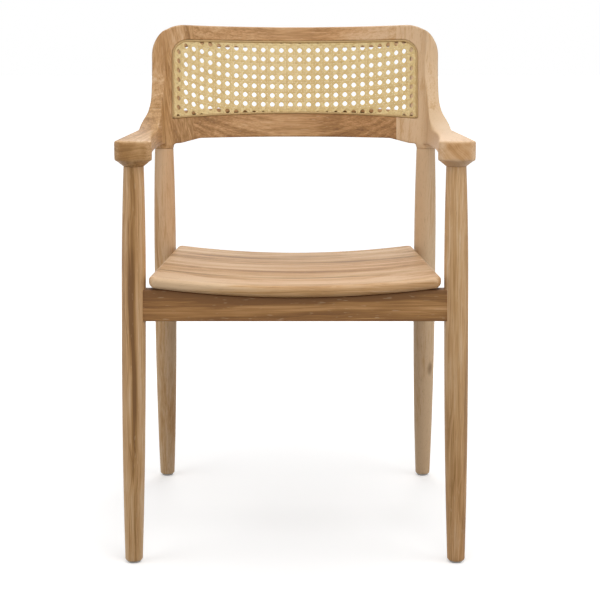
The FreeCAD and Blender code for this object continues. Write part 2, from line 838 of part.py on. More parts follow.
def cane_panel():
    """A curved sheet of open cane with its edge turned down into the groove."""
    outline = Part.Wire(Part.__sortEdges__(cane_edges(groove_width)))
    holed_face = Part.makeFace([outline] + cane_gaps(), "Part::FaceMakerBullseye")
    net = holed_face.extrude(Vector(0, far_depth, 0))
    woven = net.common(strip_layer(ledge_depth - cane_thickness, ledge_depth))
    ring = cane_outline(groove_width - cane_lip).cut(cane_outline(groove_width))
    lip = ring.common(strip_layer(ledge_depth - cane_thickness, groove_depth - end_clearance))
    return one_solid(woven.fuse(lip).removeSplitter())


def cane_splines():
    """The bead that fills the groove: an upper length bent round three sides and a lower one."""
    ring = cane_outline(glue_clearance).cut(cane_outline(groove_width - cane_lip - glue_clearance))
    bead = ring.common(curved_layer(-spline_proud, groove_depth - end_clearance))
    tall = (cane_top - cane_bottom) / 2
    wide, narrow = cane_width / 2 + tall, cane_width / 2 - tall
    low, high = cane_bottom - tall, cane_bottom + tall
    corners = [Vector(x, 0, z) for x, z in ((-wide, low), (wide, low), (narrow, high), (-narrow, high))]
    mitre = front_prism([line(corners[place - 1], corners[place]) for place in range(len(corners))])
    upper = max(bead.cut(mitre).Solids, key=lambda solid: solid.CenterOfMass.z)
    lower = min(bead.common(mitre).Solids, key=lambda solid: solid.CenterOfMass.z)
    return upper, lower


# The whole chair

def seat_frame_nodes(nodes):
    legs = {}
    for row in ("front", "rear"):
        right = leg_blank(row)
        legs[row] = (mirrored(right), right)
    tenons = stub_tenons(glue_clearance, end_clearance)
    mortises = tenons.fuse(mirrored(tenons))
    rails = {row: cross_rail(row, legs[row], mortises) for row in legs}
    whole_seat = seat()
    glides = [glide(row) for row in legs]
    for row in legs:
        mortise = rail_tenon(row, glue_clearance, end_clearance)
        add_pair(nodes, row + "_leg", leg(row, legs[row][1], mortise))
        add_pair(nodes, row + "_corner_block", corner_block(row))
        whole_seat = whole_seat.cut(screw_hole(row)).cut(mirrored(screw_hole(row)))
        nodes[row + "_rail"] = one_solid(rails[row])
    add_pair(nodes, "side_rail", side_rail())
    for place, board in enumerate(seat_boards(whole_seat), start=1):
        nodes["seat_board_%d" % place] = board
    nodes["glides"] = group_of_pairs(glides)
    nodes["seat_screws"] = group_of_pairs([screw(row, 0, 0, 0) for row in legs])


def back_nodes(nodes):
    crest, lower, stile = back_pieces()
    nodes["crest_rail"] = crest
    nodes["lower_rail"] = lower
    add_pair(nodes, "stile", stile)
    add_pair(nodes, "arm", arm())
    nodes["cane_panel"] = cane_panel()
    nodes["cane_spline_upper"], nodes["cane_spline_lower"] = cane_splines()
    nodes["arm_tenons"] = group_of_pairs([arm_tenon(0, 0)])
    nodes["crest_tenons"] = group_of_pairs([crest_tenon(0, 0)])
    nodes["lower_rail_tenons"] = group_of_pairs([lower_tenon(0, 0)])


def add_pair(nodes, name, right):
    nodes[name + "_right"] = right
    nodes[name + "_left"] = mirrored(right)


def group_of_pairs(solids):
    return Part.makeCompound([solid for right in solids for solid in (right, mirrored(right))])


def main():
    nodes = {}
    seat_frame_nodes(nodes)
    back_nodes(nodes)
    box = Part.makeCompound(list(nodes.values())).optimalBoundingBox(False, False)
    middle = Vector(0, (box.YMin + box.YMax) / 2, 0)
    os.makedirs("parts", exist_ok=True)
    for name, shape in sorted(nodes.items()):
        placed = shape.translated(middle * -1)
        placed.exportStep("parts/%s.step" % name)
        print(name, "solids", len(placed.Solids), "valid", placed.isValid(), "volume", round(placed.Volume))
    print("moved forward by", round(middle.y, 3), "size", round(box.XLength, 2), round(box.YLength, 2),
          round(box.ZLength, 2))


main()
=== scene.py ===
# %% [markdown]
# # A teak armchair with a woven cane back
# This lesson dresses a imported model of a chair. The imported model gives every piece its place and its
# size, and each cell here makes one piece or one finish and lays it over that model.

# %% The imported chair
import math

import bmesh
import bpy
import numpy as np
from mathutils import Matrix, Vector


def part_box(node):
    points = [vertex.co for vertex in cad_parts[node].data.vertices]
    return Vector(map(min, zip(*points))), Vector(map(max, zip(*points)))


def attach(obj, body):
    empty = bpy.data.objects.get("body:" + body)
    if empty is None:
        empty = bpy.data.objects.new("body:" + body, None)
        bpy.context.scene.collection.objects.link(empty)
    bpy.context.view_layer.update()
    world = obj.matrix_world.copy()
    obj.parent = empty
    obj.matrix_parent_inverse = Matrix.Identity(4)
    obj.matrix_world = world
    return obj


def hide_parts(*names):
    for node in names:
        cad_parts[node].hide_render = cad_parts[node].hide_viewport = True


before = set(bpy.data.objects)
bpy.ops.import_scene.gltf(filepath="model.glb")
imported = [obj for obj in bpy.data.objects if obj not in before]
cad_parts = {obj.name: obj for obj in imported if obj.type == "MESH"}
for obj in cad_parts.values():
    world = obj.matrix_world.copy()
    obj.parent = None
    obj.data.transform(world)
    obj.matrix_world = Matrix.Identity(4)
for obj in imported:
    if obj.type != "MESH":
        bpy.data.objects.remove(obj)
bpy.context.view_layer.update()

# %% [markdown]
# ## Where things are
# The chair faces -Y. A joiner measures depth from the front legs, so this lesson does the same and adds
# one value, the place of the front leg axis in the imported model, when a piece is finished. The other
# sizes are the joiner's own, in metres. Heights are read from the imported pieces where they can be.

# %% Main sizes


def node_box(node):
    """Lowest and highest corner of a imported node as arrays."""
    return [np.array(corner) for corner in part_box(node)]


front_axis = float(np.mean([corner[1] for corner in node_box("front_leg_right")]))
shoulder_height = 0.635
arm_top = 0.675
back_top = float(node_box("crest_rail")[1][2])
print("front leg axis at", round(front_axis, 5), "top of the back", round(back_top, 4))

# %% [markdown]
# ## Surfaces from arrays
# Nearly every piece here is a closed section carried along a path. Bevelled curves and modifiers could
# make many of them, but with arrays each shape is a formula that can be read and changed. The section's
# points are one axis of an array and the stations along the path are the other, so the whole surface is
# worked out at once. A cap closes each end. The sign of the enclosed volume tells whether the faces point
# outwards, and if they don't, the order of the section's points is turned round.

# %% Sections carried along a path


def enclosed_volume(points):
    """Volume of a capped surface: a sixth of the sum of p . (q x r) over its triangles."""
    centre = points.mean(axis=(0, 1))
    loops = points - centre
    beside = np.roll(loops, -1, axis=1)
    a, b, c, d = loops[:-1], loops[1:], beside[1:], beside[:-1]
    walls = np.einsum("ijk,ijk->", a, np.cross(b, c)) + np.einsum("ijk,ijk->", a, np.cross(c, d))
    caps = 0.0
    for loop, turn in ((loops[0], 1), (loops[-1], -1)):
        middle = loop.mean(axis=0)
        caps += turn * np.einsum("j,ij->", middle, np.cross(loop, np.roll(loop, -1, axis=0)))
    return (walls + caps) / 6


def carried(points):
    """Vertices and faces of sections carried along a path: quads between stations, one cap at each end."""
    if enclosed_volume(points) > 0:
        points = points[:, ::-1]
    stations, around = points.shape[:2]
    place = np.arange(stations * around).reshape(stations, around)
    beside = np.roll(place, -1, axis=1)
    quads = np.stack([place[:-1], beside[:-1], beside[1:], place[1:]], axis=-1).reshape(-1, 4)
    caps = [place[0][::-1], place[-1]]
    return points.reshape(-1, 3), quads, caps


unit_square = np.array([[0.0, 0.0], [1.0, 0.0], [1.0, 1.0], [0.0, 1.0]])
unit_box = np.stack([np.column_stack([unit_square, np.full(4, level)]) for level in (0.0, 1.0)])
print("a unit box encloses", round(abs(float(enclosed_volume(unit_box))), 6))

# %% Surfaces become a mesh


def new_mesh(name, shells):
    """One mesh from several closed shells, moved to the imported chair's frame and written as whole arrays."""
    points, loops, sizes, shift = [], [], [], 0
    for vertices, quads, caps in shells:
        points.append(vertices)
        loops.append(quads.ravel() + shift)
        sizes.append(np.full(len(quads), 4))
        for cap in caps:
            loops.append(cap + shift)
            sizes.append(np.array([len(cap)]))
        shift += len(vertices)
    points, loops, sizes = np.concatenate(points), np.concatenate(loops), np.concatenate(sizes)
    points = points + np.array([0.0, front_axis, 0.0])
    mesh = bpy.data.meshes.new(name)
    mesh.vertices.add(len(points))
    mesh.vertices.foreach_set("co", points.astype(np.float32).ravel())
    mesh.loops.add(len(loops))
    mesh.loops.foreach_set("vertex_index", loops.astype(np.int32))
    mesh.polygons.add(len(sizes))
    starts = np.concatenate([[0], np.cumsum(sizes)[:-1]])
    mesh.polygons.foreach_set("loop_start", starts.astype(np.int32))
    mesh.update(calc_edges=True)
    mesh.validate()
    return mesh


print("depths from the front legs move by", round(front_axis, 4), "m")

# %% A mesh becomes a piece


def linked(name, data):
    """A new object of the scene that shows the given data."""
    thing = bpy.data.objects.new(name, data)
    bpy.context.scene.collection.objects.link(thing)
    return thing


def finish_piece(name, mesh, slot, material, *nodes, crisp_angle=40):
    """Links the mesh as an object at the origin, smooth but for its crisp edges, on the chair's one body."""
    mesh.polygons.foreach_set("use_smooth", np.ones(len(mesh.polygons), bool))
    mesh.set_sharp_from_angle(angle=math.radians(crisp_angle))
    mesh.materials.clear()
    mesh.materials.append(material)
    piece = linked(name, mesh)
    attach(piece, "root")
    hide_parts(*nodes)
    print("made", name, "with", len(mesh.polygons), "faces")


# %% [markdown]
# ## Teak
# Teak is honey brown, with darker growth rings, soft stripes, fine open pores, pale flecks, a few knots and
# paler sapwood. The rings are made as in a real trunk: the distance from the pith drives a noise of one
# dimension, so each face of a piece shows the figure that a saw would lay open there. A picture of wood
# would stretch at every rounded edge. The maths is one node group, and frame and seat each get a material
# with their own share of knots and stripes, as a joiner picks boards.

# %% Nodes


def add_node(tree, kind, inputs=None, **settings):
    """A node with its settings; an input that is a socket is linked, any other is set."""
    node = tree.nodes.new(kind)
    for key, value in settings.items():
        setattr(node, key, value)
    for key, value in (inputs or {}).items():
        if isinstance(value, bpy.types.NodeSocket):
            tree.links.new(value, node.inputs[key])
        else:
            node.inputs[key].default_value = value
    return node


def feed(node, sockets):
    """Links each socket to the node's input of that name."""
    for label, socket in sockets.items():
        node.id_data.links.new(socket, node.inputs[label])


node_kinds = [kind for kind in dir(bpy.types) if kind.startswith("ShaderNode")]
print("Blender has", len(node_kinds), "kinds of shader nodes")

# %% Sums


def calc(tree, operation, first, second):
    """One operation on two numbers."""
    return add_node(tree, "ShaderNodeMath", {0: first, 1: second}, operation=operation).outputs[0]


def times(tree, first, second):
    """The product of two numbers."""
    return calc(tree, "MULTIPLY", first, second)


def plus(tree, first, second):
    """The sum of two numbers."""
    return calc(tree, "ADD", first, second)


def less(tree, first, second):
    """The first number less the second."""
    return calc(tree, "SUBTRACT", first, second)


def vector_calc(tree, operation, first, second):
    """One operation on two vectors."""
    return add_node(tree, "ShaderNodeVectorMath", {0: first, 1: second}, operation=operation).outputs[0]


def stretched(tree, vector, scale):
    """A vector with each part multiplied by its own scale."""
    return vector_calc(tree, "MULTIPLY", vector, scale)


operations = bpy.types.ShaderNodeMath.bl_rna.properties["operation"].enum_items
print("a math node knows", len(operations), "operations")

# %% Noise and ramps


def noise(tree, vector, detail, roughness=0.5, output="Fac"):
    """Cloudy noise at a place in space."""
    inputs = {"Vector": vector, "Scale": 1.0, "Detail": detail, "Roughness": roughness}
    return add_node(tree, "ShaderNodeTexNoise", inputs).outputs[output]


def noise_along(tree, distance, detail, roughness):
    """Noise that changes with one distance alone."""
    inputs = {"W": distance, "Scale": 1.0, "Detail": detail, "Roughness": roughness}
    return add_node(tree, "ShaderNodeTexNoise", inputs, noise_dimensions="1D").outputs["Fac"]


def ramp(tree, factor, stops):
    """A colour ramp with its stops given as (place, colour)."""
    node = add_node(tree, "ShaderNodeValToRGB", {"Fac": factor})
    elements = node.color_ramp.elements
    while len(elements) < len(stops):
        elements.new(1.0)
    for element, (place, colour) in zip(elements, stops):
        element.position = place
        element.color = (*colour, 1.0)
    return node.outputs["Color"]


def steps_between(tree, value, low, high):
    """0 below low, 1 above high, smooth between them."""
    inputs = {"Value": value, "From Min": low, "From Max": high}
    return add_node(tree, "ShaderNodeMapRange", inputs, interpolation_type="SMOOTHSTEP").outputs["Result"]


def blend(tree, factor, first, second, kind="MIX"):
    """The first colour turned into the second by a factor."""
    inputs = {0: factor, 6: first, 7: second}
    return add_node(tree, "ShaderNodeMix", inputs, data_type="RGBA", blend_type=kind).outputs[2]


dimensions = bpy.types.ShaderNodeTexNoise.bl_rna.properties["noise_dimensions"].enum_items
print("noise comes in", ", ".join(item.identifier for item in dimensions))

# %% An empty group


def new_group(name, inputs, outputs):
    """An empty shader group; its named sockets are given with their types."""
    group = bpy.data.node_groups.new(name, "ShaderNodeTree")
    for in_out, sockets in (("INPUT", inputs), ("OUTPUT", outputs)):
        for label, kind in sockets.items():
            group.interface.new_socket(label, in_out=in_out, socket_type=f"NodeSocket{kind}")
    source = group.nodes.new("NodeGroupInput")
    target = group.nodes.new("NodeGroupOutput")
    return group, source.outputs, target


print("node groups so far", len(bpy.data.node_groups))

# %% Rings and knots
knots_per_metre = (14.0, 14.0, 6.0)
knot_swelling = 0.008          # how far a knot pushes the rings aside
pith_place = (0.055, 0.035, 0.0)
pith_waver = (0.042, 0.042, 0.0)
trunk_taper = (1.0, 1.0, 0.05)


def knot_masks(tree, timber, amount):
    """Dark hearts of knots and the wider swelling about them, from the distance to scattered points."""
    inputs = {"Vector": stretched(tree, timber, knots_per_metre), "Scale": 1.0}
    distance = add_node(tree, "ShaderNodeTexVoronoi", inputs).outputs["Distance"]
    heart = less(tree, 1.0, steps_between(tree, distance, 0.03, 0.12))
    swelling = less(tree, 1.0, steps_between(tree, distance, 0.02, 0.34))
    return times(tree, heart, amount), times(tree, swelling, amount)


def ring_radius(tree, timber, swelling):
    """Distance from a pith that wavers along the trunk, with the swelling of the knots added."""
    wander = noise(tree, stretched(tree, timber, (11.0, 11.0, 2.6)), 3.0, 0.6, "Color")
    centred = vector_calc(tree, "SUBTRACT", wander, (0.5, 0.5, 0.5))
    moved = vector_calc(tree, "ADD", stretched(tree, centred, pith_waver), timber)
    from_pith = vector_calc(tree, "ADD", stretched(tree, moved, trunk_taper), pith_place)
    radius = add_node(tree, "ShaderNodeVectorMath", {0: from_pith}, operation="LENGTH").outputs["Value"]
    return plus(tree, radius, times(tree, swelling, knot_swelling))


print("a knot every", round(1e3 / knots_per_metre[2]), "mm or so along the grain")

# %% Colours and layers of teak
honey = (0.56, 0.325, 0.140)
sapwood = (0.72, 0.505, 0.305)
heartwood = (0.36, 0.185, 0.060)
latewood = (0.20, 0.092, 0.026)
rosy = (1.0, 0.88, 0.80, 1.0)
figure_layers = {              # scale across, across and along the grain, then detail and roughness
    "streaks": ((330.0, 330.0, 6.0), 3.0, 0.6),
    "fibres": ((700.0, 700.0, 10.0), 3.0, 0.6),
    "pores": ((1500.0, 1500.0, 46.0), 1.0, 0.5),
    "patches": ((13.0, 13.0, 4.5), 3.0, 0.55),
    "stripes": ((34.0, 34.0, 1.8), 2.0, 0.5),
    "ruddy": ((5.0, 5.0, 1.5), 1.0, 0.5),
    "flecks": ((420.0, 420.0, 60.0), 1.0, 0.5),
}
print("layers of teak", ", ".join(figure_layers))

# %% The teak group
teak_inputs = {"Timber": "Vector", "Darkness": "Float", "Worn": "Float", "Knots": "Float",
               "Stripes": "Float", "End Grain": "Float"}
teak_outputs = {"Colour": "Color", "Roughness": "Float", "Relief": "Float"}


def teak_group():
    """A tone summed from rings and layers of noise picks the colour; the third axis runs along the grain.

    Sawn across, wood shows its rings but no lines along the grain, so End Grain fades those.
    """
    tree, given, wanted = new_group("teak_figure", teak_inputs, teak_outputs)
    timber = given["Timber"]
    knot, swelling = knot_masks(tree, timber, given["Knots"])
    radius = ring_radius(tree, timber, swelling)
    bands = noise_along(tree, times(tree, radius, 95.0), 3.0, 0.6)
    lines = noise_along(tree, times(tree, radius, 620.0), 2.0, 0.5)
    layer = {name: noise(tree, stretched(tree, timber, scale), detail, roughness)
             for name, (scale, detail, roughness) in figure_layers.items()}
    along = less(tree, 1.0, times(tree, given["End Grain"], 0.80))
    tone = 0.0
    for part, weight, share in ((bands, 0.40, 1.0), (lines, 0.16, 1.0), (layer["streaks"], 0.50, along),
                                (layer["fibres"], 0.34, along), (layer["patches"], 0.62, 1.0)):
        part = times(tree, less(tree, part, 0.5), weight)
        tone = plus(tree, tone, times(tree, part, share))
    stripe = less(tree, steps_between(tree, layer["stripes"], 0.36, 0.64), 0.5)
    tone = plus(tree, tone, times(tree, stripe, given["Stripes"]))
    tone = less(tree, plus(tree, tone, 0.5), given["Darkness"])
    tone = plus(tree, tone, times(tree, given["Worn"], 0.05))
    wood = ramp(tree, tone, [(0.18, latewood), (0.36, heartwood), (0.53, honey), (0.74, sapwood)])
    ruddy = steps_between(tree, layer["ruddy"], 0.42, 0.70)
    wood = blend(tree, times(tree, ruddy, 0.55), wood, rosy, "MULTIPLY")
    pore = times(tree, steps_between(tree, layer["pores"], 0.62, 0.74), along)
    fleck = times(tree, steps_between(tree, layer["flecks"], 0.66, 0.76), along)
    for mask, share, colour in ((pore, 0.30, latewood), (knot, 0.70, latewood), (fleck, 0.32, sapwood)):
        wood = blend(tree, times(tree, mask, share), wood, (*colour, 1.0))
    rough = plus(tree, 0.42, times(tree, layer["fibres"], 0.20))
    rough = less(tree, rough, times(tree, given["Worn"], 0.06))
    rough = plus(tree, rough, times(tree, pore, 0.15))
    relief = less(tree, times(tree, layer["fibres"], 0.5), times(tree, pore, 0.8))
    relief = plus(tree, relief, times(tree, bands, 0.4))
    feed(wanted, {"Colour": wood, "Roughness": rough, "Relief": relief})
    return tree


teak_figure = teak_group()
print("teak group with", len(teak_figure.nodes), "nodes")

# %% Teak materials
teak_attributes = {"Timber": ("timber", "Vector"), "Darkness": ("darkness", "Fac"), "Worn": ("worn", "Fac"),
                   "End Grain": ("end_grain", "Fac")}


def new_material(name):
    """A material with nodes, together with its tree and its shader."""
    material = bpy.data.materials.new(name)
    material.use_nodes = True
    tree = material.node_tree
    return material, tree, tree.nodes["Principled BSDF"]


def teak_material(name, knots, stripes):
    """Oiled teak that reads its place in the plank, its tone and its wear from the piece's own attributes."""
    material, tree, shader = new_material(name)
    inputs = {"Knots": knots, "Stripes": stripes}
    for label, (attribute, output) in teak_attributes.items():
        inputs[label] = add_node(tree, "ShaderNodeAttribute", attribute_name=attribute).outputs[output]
    figure = add_node(tree, "ShaderNodeGroup", inputs, node_tree=teak_figure).outputs
    relief = {"Height": figure["Relief"], "Strength": 0.35, "Distance": 0.0006}
    bump = add_node(tree, "ShaderNodeBump", relief)
    feed(shader, {"Base Color": figure["Colour"], "Roughness": figure["Roughness"],
                  "Normal": bump.outputs["Normal"]})
    shader.inputs["Specular IOR Level"].default_value = 0.42
    return material


frame_teak = teak_material("frame_teak", knots=1.0, stripes=0.12)
seat_teak = teak_material("seat_teak", knots=0.0, stripes=0.26)
print("materials", frame_teak.name, "and", seat_teak.name)

# %% A plank for each piece
end_grain_darkness = 0.13
grain_axes = {"x": (1, 2, 0), "y": (0, 2, 1), "z": (0, 1, 2)}


def vertex_places(mesh):
    """Place of every vertex, one row each."""
    places = np.empty(len(mesh.vertices) * 3, np.float32)
    mesh.vertices.foreach_get("co", places)
    return places.reshape(-1, 3).astype(float)


def vertex_normals(mesh):
    """Outward direction at every vertex, one row each."""
    normals = np.empty(len(mesh.vertices) * 3, np.float32)
    mesh.vertex_normals.foreach_get("vector", normals)
    return normals.reshape(-1, 3)


def store(mesh, label, values):
    """Keeps a number or a vector for each vertex as an attribute that materials can read."""
    kind, field = ("FLOAT", "value") if values.ndim == 1 else ("FLOAT_VECTOR", "vector")
    layer = mesh.attributes.new(label, kind, "POINT")
    layer.data.foreach_set(field, values.astype(np.float32).ravel())


def mark_timber(mesh, grain, shift, darkness, worn=None):
    """Stores each point's place in its plank, its tone and its wear.

    The axis named by grain comes last and is moved along by shift, so that no two pieces share a plank.
    Wood cut across the grain soaks up more oil, so a point is darker the more it faces along the grain.
    """
    order = grain_axes[grain]
    end_grain = np.abs(vertex_normals(mesh)[:, order[2]]) ** 6
    plank = vertex_places(mesh)[:, order] + np.array(shift)
    store(mesh, "timber", plank)
    store(mesh, "darkness", darkness + end_grain_darkness * end_grain)
    store(mesh, "end_grain", end_grain)
    store(mesh, "worn", np.zeros(len(plank)) if worn is None else worn)


print("grain may run along", sorted(grain_axes))

# %% [markdown]
# ## Legs
# A turner makes a leg on a lathe, so it is a profile turned about an axis. The axis leans, because the
# feet stand wider than the shoulders. Level circles are carried up the leaning axis: the foot then meets
# the floor flat and the top meets the arm flat, as the sawn ends do. Modelling with a screw modifier
# would need those ends cut afterwards.

# %% A turned leg
foot_height = 0.003
belly_start_share, belly_end_share = 0.55, 0.70
leg_toe, leg_top_round = 0.0035, 0.0003
leg_stations, leg_sides, toe_steps = 70, 48, 7
leg_rows = {
    "front": {"foot": (0.259, 0.0), "shoulder": (0.247, 0.0), "radii": (0.0140, 0.01875, 0.0155)},
    "rear": {"foot": (0.248, 0.470), "shoulder": (0.240, 0.425), "radii": (0.0135, 0.0200, 0.0170)},
}


def leg_radius(share, radii):
    """Radius at a share of the length: a parabola up to the belly, the belly, and one down to the neck."""
    foot, belly, neck = radii
    below = np.clip((belly_start_share - share) / belly_start_share, 0, 1)
    above = np.clip((share - belly_end_share) / (1 - belly_end_share), 0, 1)
    return belly - (belly - foot) * below ** 2 - (belly - neck) * above ** 2


def leg_surface(foot, shoulder, radii, side):
    """Circles on a leaning axis; the toe is a quarter round and the top a small step in."""
    length = shoulder_height - foot_height
    turns = np.linspace(0, math.pi / 2, toe_steps)
    toe_share = leg_toe * (1 - np.cos(turns)) / length
    body = np.linspace(leg_toe / length, 1 - leg_top_round / length, leg_stations)[1:]
    share = np.concatenate([toe_share, body, [1.0]])
    radius = leg_radius(share, radii)
    radius[:len(turns)] -= leg_toe * (1 - np.sin(turns))
    radius[-1] -= leg_top_round
    around = np.linspace(0, 2 * math.pi, leg_sides, endpoint=False)
    axis_x = side * (foot[0] + share * (shoulder[0] - foot[0]))
    axis_y = foot[1] + share * (shoulder[1] - foot[1])
    height = np.broadcast_to((foot_height + share * length)[:, None], (len(share), leg_sides))
    return np.stack([axis_x[:, None] + radius[:, None] * np.cos(around),
                     axis_y[:, None] + radius[:, None] * np.sin(around), height], axis=-1)


thickness = 2 * leg_radius(np.array([0.0, belly_start_share, 1.0]), leg_rows["front"]["radii"])
print("a front leg's foot, belly and neck are", np.round(1000 * thickness, 1).tolist(), "mm thick")

# %% Four legs
# the dark streak up the front legs is partly darker heartwood and partly painted shade
streak_width, streak_swell, swell_rate = 0.0052, 0.35, 14
streak_wander = ((0.0025, 9, 0), (0.0015, 23, 1))      # size, rate and start of each sine
streak_foot, streak_full, streak_fading, streak_gone = 0.05, 0.50, 0.66, 0.86
least_growing, least_fading = 0.25, 0.2
# each leg's base tone and streak weight; the rear legs' paler tone is partly paler wood, partly painted light
# for light the seat and back keep off
leg_tones = {("front", "left"): (-0.08, 0.64), ("front", "right"): (-0.05, 0.10),
             ("rear", "left"): (-0.19, 0.0), ("rear", "right"): (-0.28, 0.0)}
leg_planks = {"front": (0.31, 0.17, 0.4), "rear": (0.31, -0.23, 0.4)}


def leg_tone_and_shade(mesh, foot, shoulder, side, base, streak):
    """Tone of a leg: a base, and up its front a dark streak, a bell curve about a wandering line.

    The streak is partly darker heartwood and partly painted shade: the dark middle that side light leaves
    on a round leg's front, and the seat's shade below. It grows from the foot, is strongest below the seat
    and fades above it.
    """
    x, y, z = vertex_places(mesh).T
    share = (z - foot_height) / (shoulder_height - foot_height)
    wander = sum(size * np.sin(rate * z + start) for size, rate, start in streak_wander)
    from_streak = x - side * (foot[0] + share * (shoulder[0] - foot[0])) - wander
    width = streak_width * (1 + streak_swell * np.sin(swell_rate * z))
    growing = np.clip((share - streak_foot) / (streak_full - streak_foot), least_growing, 1)
    fading = np.clip((streak_gone - share) / (streak_gone - streak_fading), least_fading, 1)
    in_front = y < foot[1] + front_axis
    return base + streak * growing * fading * np.exp(-(from_streak / width) ** 2) * in_front


for row, shape in leg_rows.items():
    for side, hand in ((-1, "left"), (1, "right")):
        mesh = new_mesh(f"turned_{row}_leg_{hand}", [carried(leg_surface(**shape, side=side))])
        tone = leg_tone_and_shade(mesh, shape["foot"], shape["shoulder"], side, *leg_tones[row, hand])
        mark_timber(mesh, "z", np.array([side, 1, side]) * leg_planks[row], tone)
        finish_piece(mesh.name, mesh, "frame_teak", frame_teak, f"{row}_leg_{hand}")

# %% [markdown]
# ## Glides
# Each foot has a small pale plastic disc under it, with a rounded rim. A bevelled cylinder would do, but
# level circles, as in the legs, keep to one way of working.

# %% Plastic glides
glide_radius, glide_round, glide_sides, rim_steps = 0.0105, 0.0008, 32, 5


def mottled_material(name, scale, deep, pale, rough, rougher, metallic=0.0):
    """One noise moves the colour from deep to pale and adds to the roughness."""
    material, tree, shader = new_material(name)
    place = add_node(tree, "ShaderNodeTexCoord").outputs["Object"]
    mottle = noise(tree, stretched(tree, place, scale), 3.0)
    feed(shader, {"Base Color": ramp(tree, mottle, [(0.3, deep), (0.7, pale)]),
                  "Roughness": plus(tree, rough, times(tree, mottle, rougher))})
    shader.inputs["Metallic"].default_value = metallic
    return material


def glide_surface(x, y):
    """Level circles: rounded rim, straight wall, flat top under the foot."""
    turns = np.linspace(0, math.pi / 2, rim_steps)
    height = np.concatenate([glide_round * (1 - np.cos(turns)), [foot_height]])
    radius = np.concatenate([glide_radius - glide_round * (1 - np.sin(turns)), [glide_radius]])
    around = np.linspace(0, 2 * math.pi, glide_sides, endpoint=False)
    return np.stack([x + radius[:, None] * np.cos(around), y + radius[:, None] * np.sin(around),
                     np.broadcast_to(height[:, None], (len(height), glide_sides))], axis=-1)


glide_shells = [carried(glide_surface(side * shape["foot"][0], shape["foot"][1]))
                for shape in leg_rows.values() for side in (-1, 1)]
glide_mesh = new_mesh("foot_glides", glide_shells)
plastic = mottled_material("glide_plastic", (900.0, 900.0, 900.0), (0.50, 0.49, 0.47), (0.66, 0.65, 0.62),
                           0.38, 0.2)
finish_piece("foot_glides", glide_mesh, "glide_plastic", plastic, "glides")

# %% [markdown]
# ## Seat
# The seat is five boards glued edge to edge, then dished across and rounded over all round. A box could be
# subdivided and sculpted to this shape, but a formula keeps the dish even. A section across the chair is
# carried from front to back: it is a rounded rectangle bent down in the middle. Near the front and rear
# edges it gets thinner and narrower, which rounds those edges and the corners too. Cutting the path at
# the glue lines gives the boards, each with its own figure.

# %% Dish of the seat
seat_front_height, seat_thickness = 0.467, 0.018
seat_front_edge, seat_depth = -0.020, 0.460
seat_half_front, seat_half_rear = 0.2265, 0.2175
seat_scoop, seat_drop = 0.0155, 0.011
seat_corner, seat_round, seat_round_below = 0.015, 0.0065, 0.0075
board_stations, corner_stations = 14, 9


def quarter_inset(distance, radius):
    """How far a rounded edge lies inside the square one: the radius less the circle's height there."""
    inside = np.clip(radius - distance, 0, radius)
    return radius - np.sqrt(radius ** 2 - inside ** 2)


def seat_middle(x, y):
    """Height halfway through the seat: a parabola across, falling evenly towards the back."""
    dish = seat_scoop * (1 - (x / seat_half_front) ** 2)
    fall = seat_drop * (y - seat_front_edge) / seat_depth
    return seat_front_height - seat_thickness / 2 - dish - fall


def seat_stations(near, far, round_near, round_far):
    """Depths of the sections: even, and close together where an edge is rounded."""
    turns = 1 - np.cos(np.linspace(0, math.pi / 2, corner_stations))
    even = np.linspace(near, far, board_stations)
    fine_near = near + seat_corner * turns if round_near else []
    fine_far = far - seat_corner * turns if round_far else []
    return np.unique(np.round(np.concatenate([even, fine_near, fine_far]), 7))


middle_height = seat_middle(0.0, seat_front_edge + seat_depth / 2) + seat_thickness / 2
print("the middle of the seat lies at", round(middle_height, 4))

# %% Dished boards
board_count = 5
board_width = seat_depth / board_count
board_darkness = (-0.21, -0.01, -0.10, 0.03, -0.05)
board_plank = np.array([0.37, 0.11, 0.29])
edge_steps, across_steps = 7, 62
least_edge = 0.0002            # height that is left at the thin front and rear edges


def seat_sections(y):
    """Rectangles bent along the dish, one at each depth, rounded above and a little more below."""
    share = (y - seat_front_edge) / seat_depth
    to_edge = np.minimum(y - seat_front_edge, seat_front_edge + seat_depth - y)
    half = seat_half_front + share * (seat_half_rear - seat_half_front) - quarter_inset(to_edge, seat_corner)
    half = half[:, None]
    high = (seat_thickness / 2 - quarter_inset(to_edge, seat_round))[:, None]
    low = (quarter_inset(to_edge, seat_round_below) - seat_thickness / 2)[:, None]
    turns = np.linspace(0, math.pi / 2, edge_steps)
    above, below = seat_round, seat_round_below
    end_x = np.concatenate([half - below + below * np.sin(turns),
                            half - above + above * np.cos(turns)], axis=1)
    lower_z = np.minimum(low + below * (1 - np.cos(turns)), high - least_edge)
    upper_z = np.maximum(high - above + above * np.sin(turns), lower_z[:, -1:] + least_edge / 2)
    end_z = np.concatenate([lower_z, upper_z], axis=1)
    across = np.linspace(1, -1, across_steps)[1:-1]
    top, base = across * (half - above), -across * (half - below)
    x = np.concatenate([end_x, top, -end_x[:, ::-1], base], axis=1)
    z = np.concatenate([end_z, high + 0 * top, end_z[:, ::-1], low + 0 * base], axis=1)
    depth = np.broadcast_to(y[:, None], x.shape)
    return np.stack([x, depth, seat_middle(x, depth) + z], axis=-1)


for place in range(board_count):
    near = seat_front_edge + place * board_width
    depths = seat_stations(near, near + board_width, place == 0, place == board_count - 1)
    mesh = new_mesh(f"dished_board_{place + 1}", [carried(seat_sections(depths))])
    mark_timber(mesh, "x", place * board_plank, board_darkness[place])
    finish_piece(mesh.name, mesh, "seat_teak", seat_teak, f"seat_board_{place + 1}")
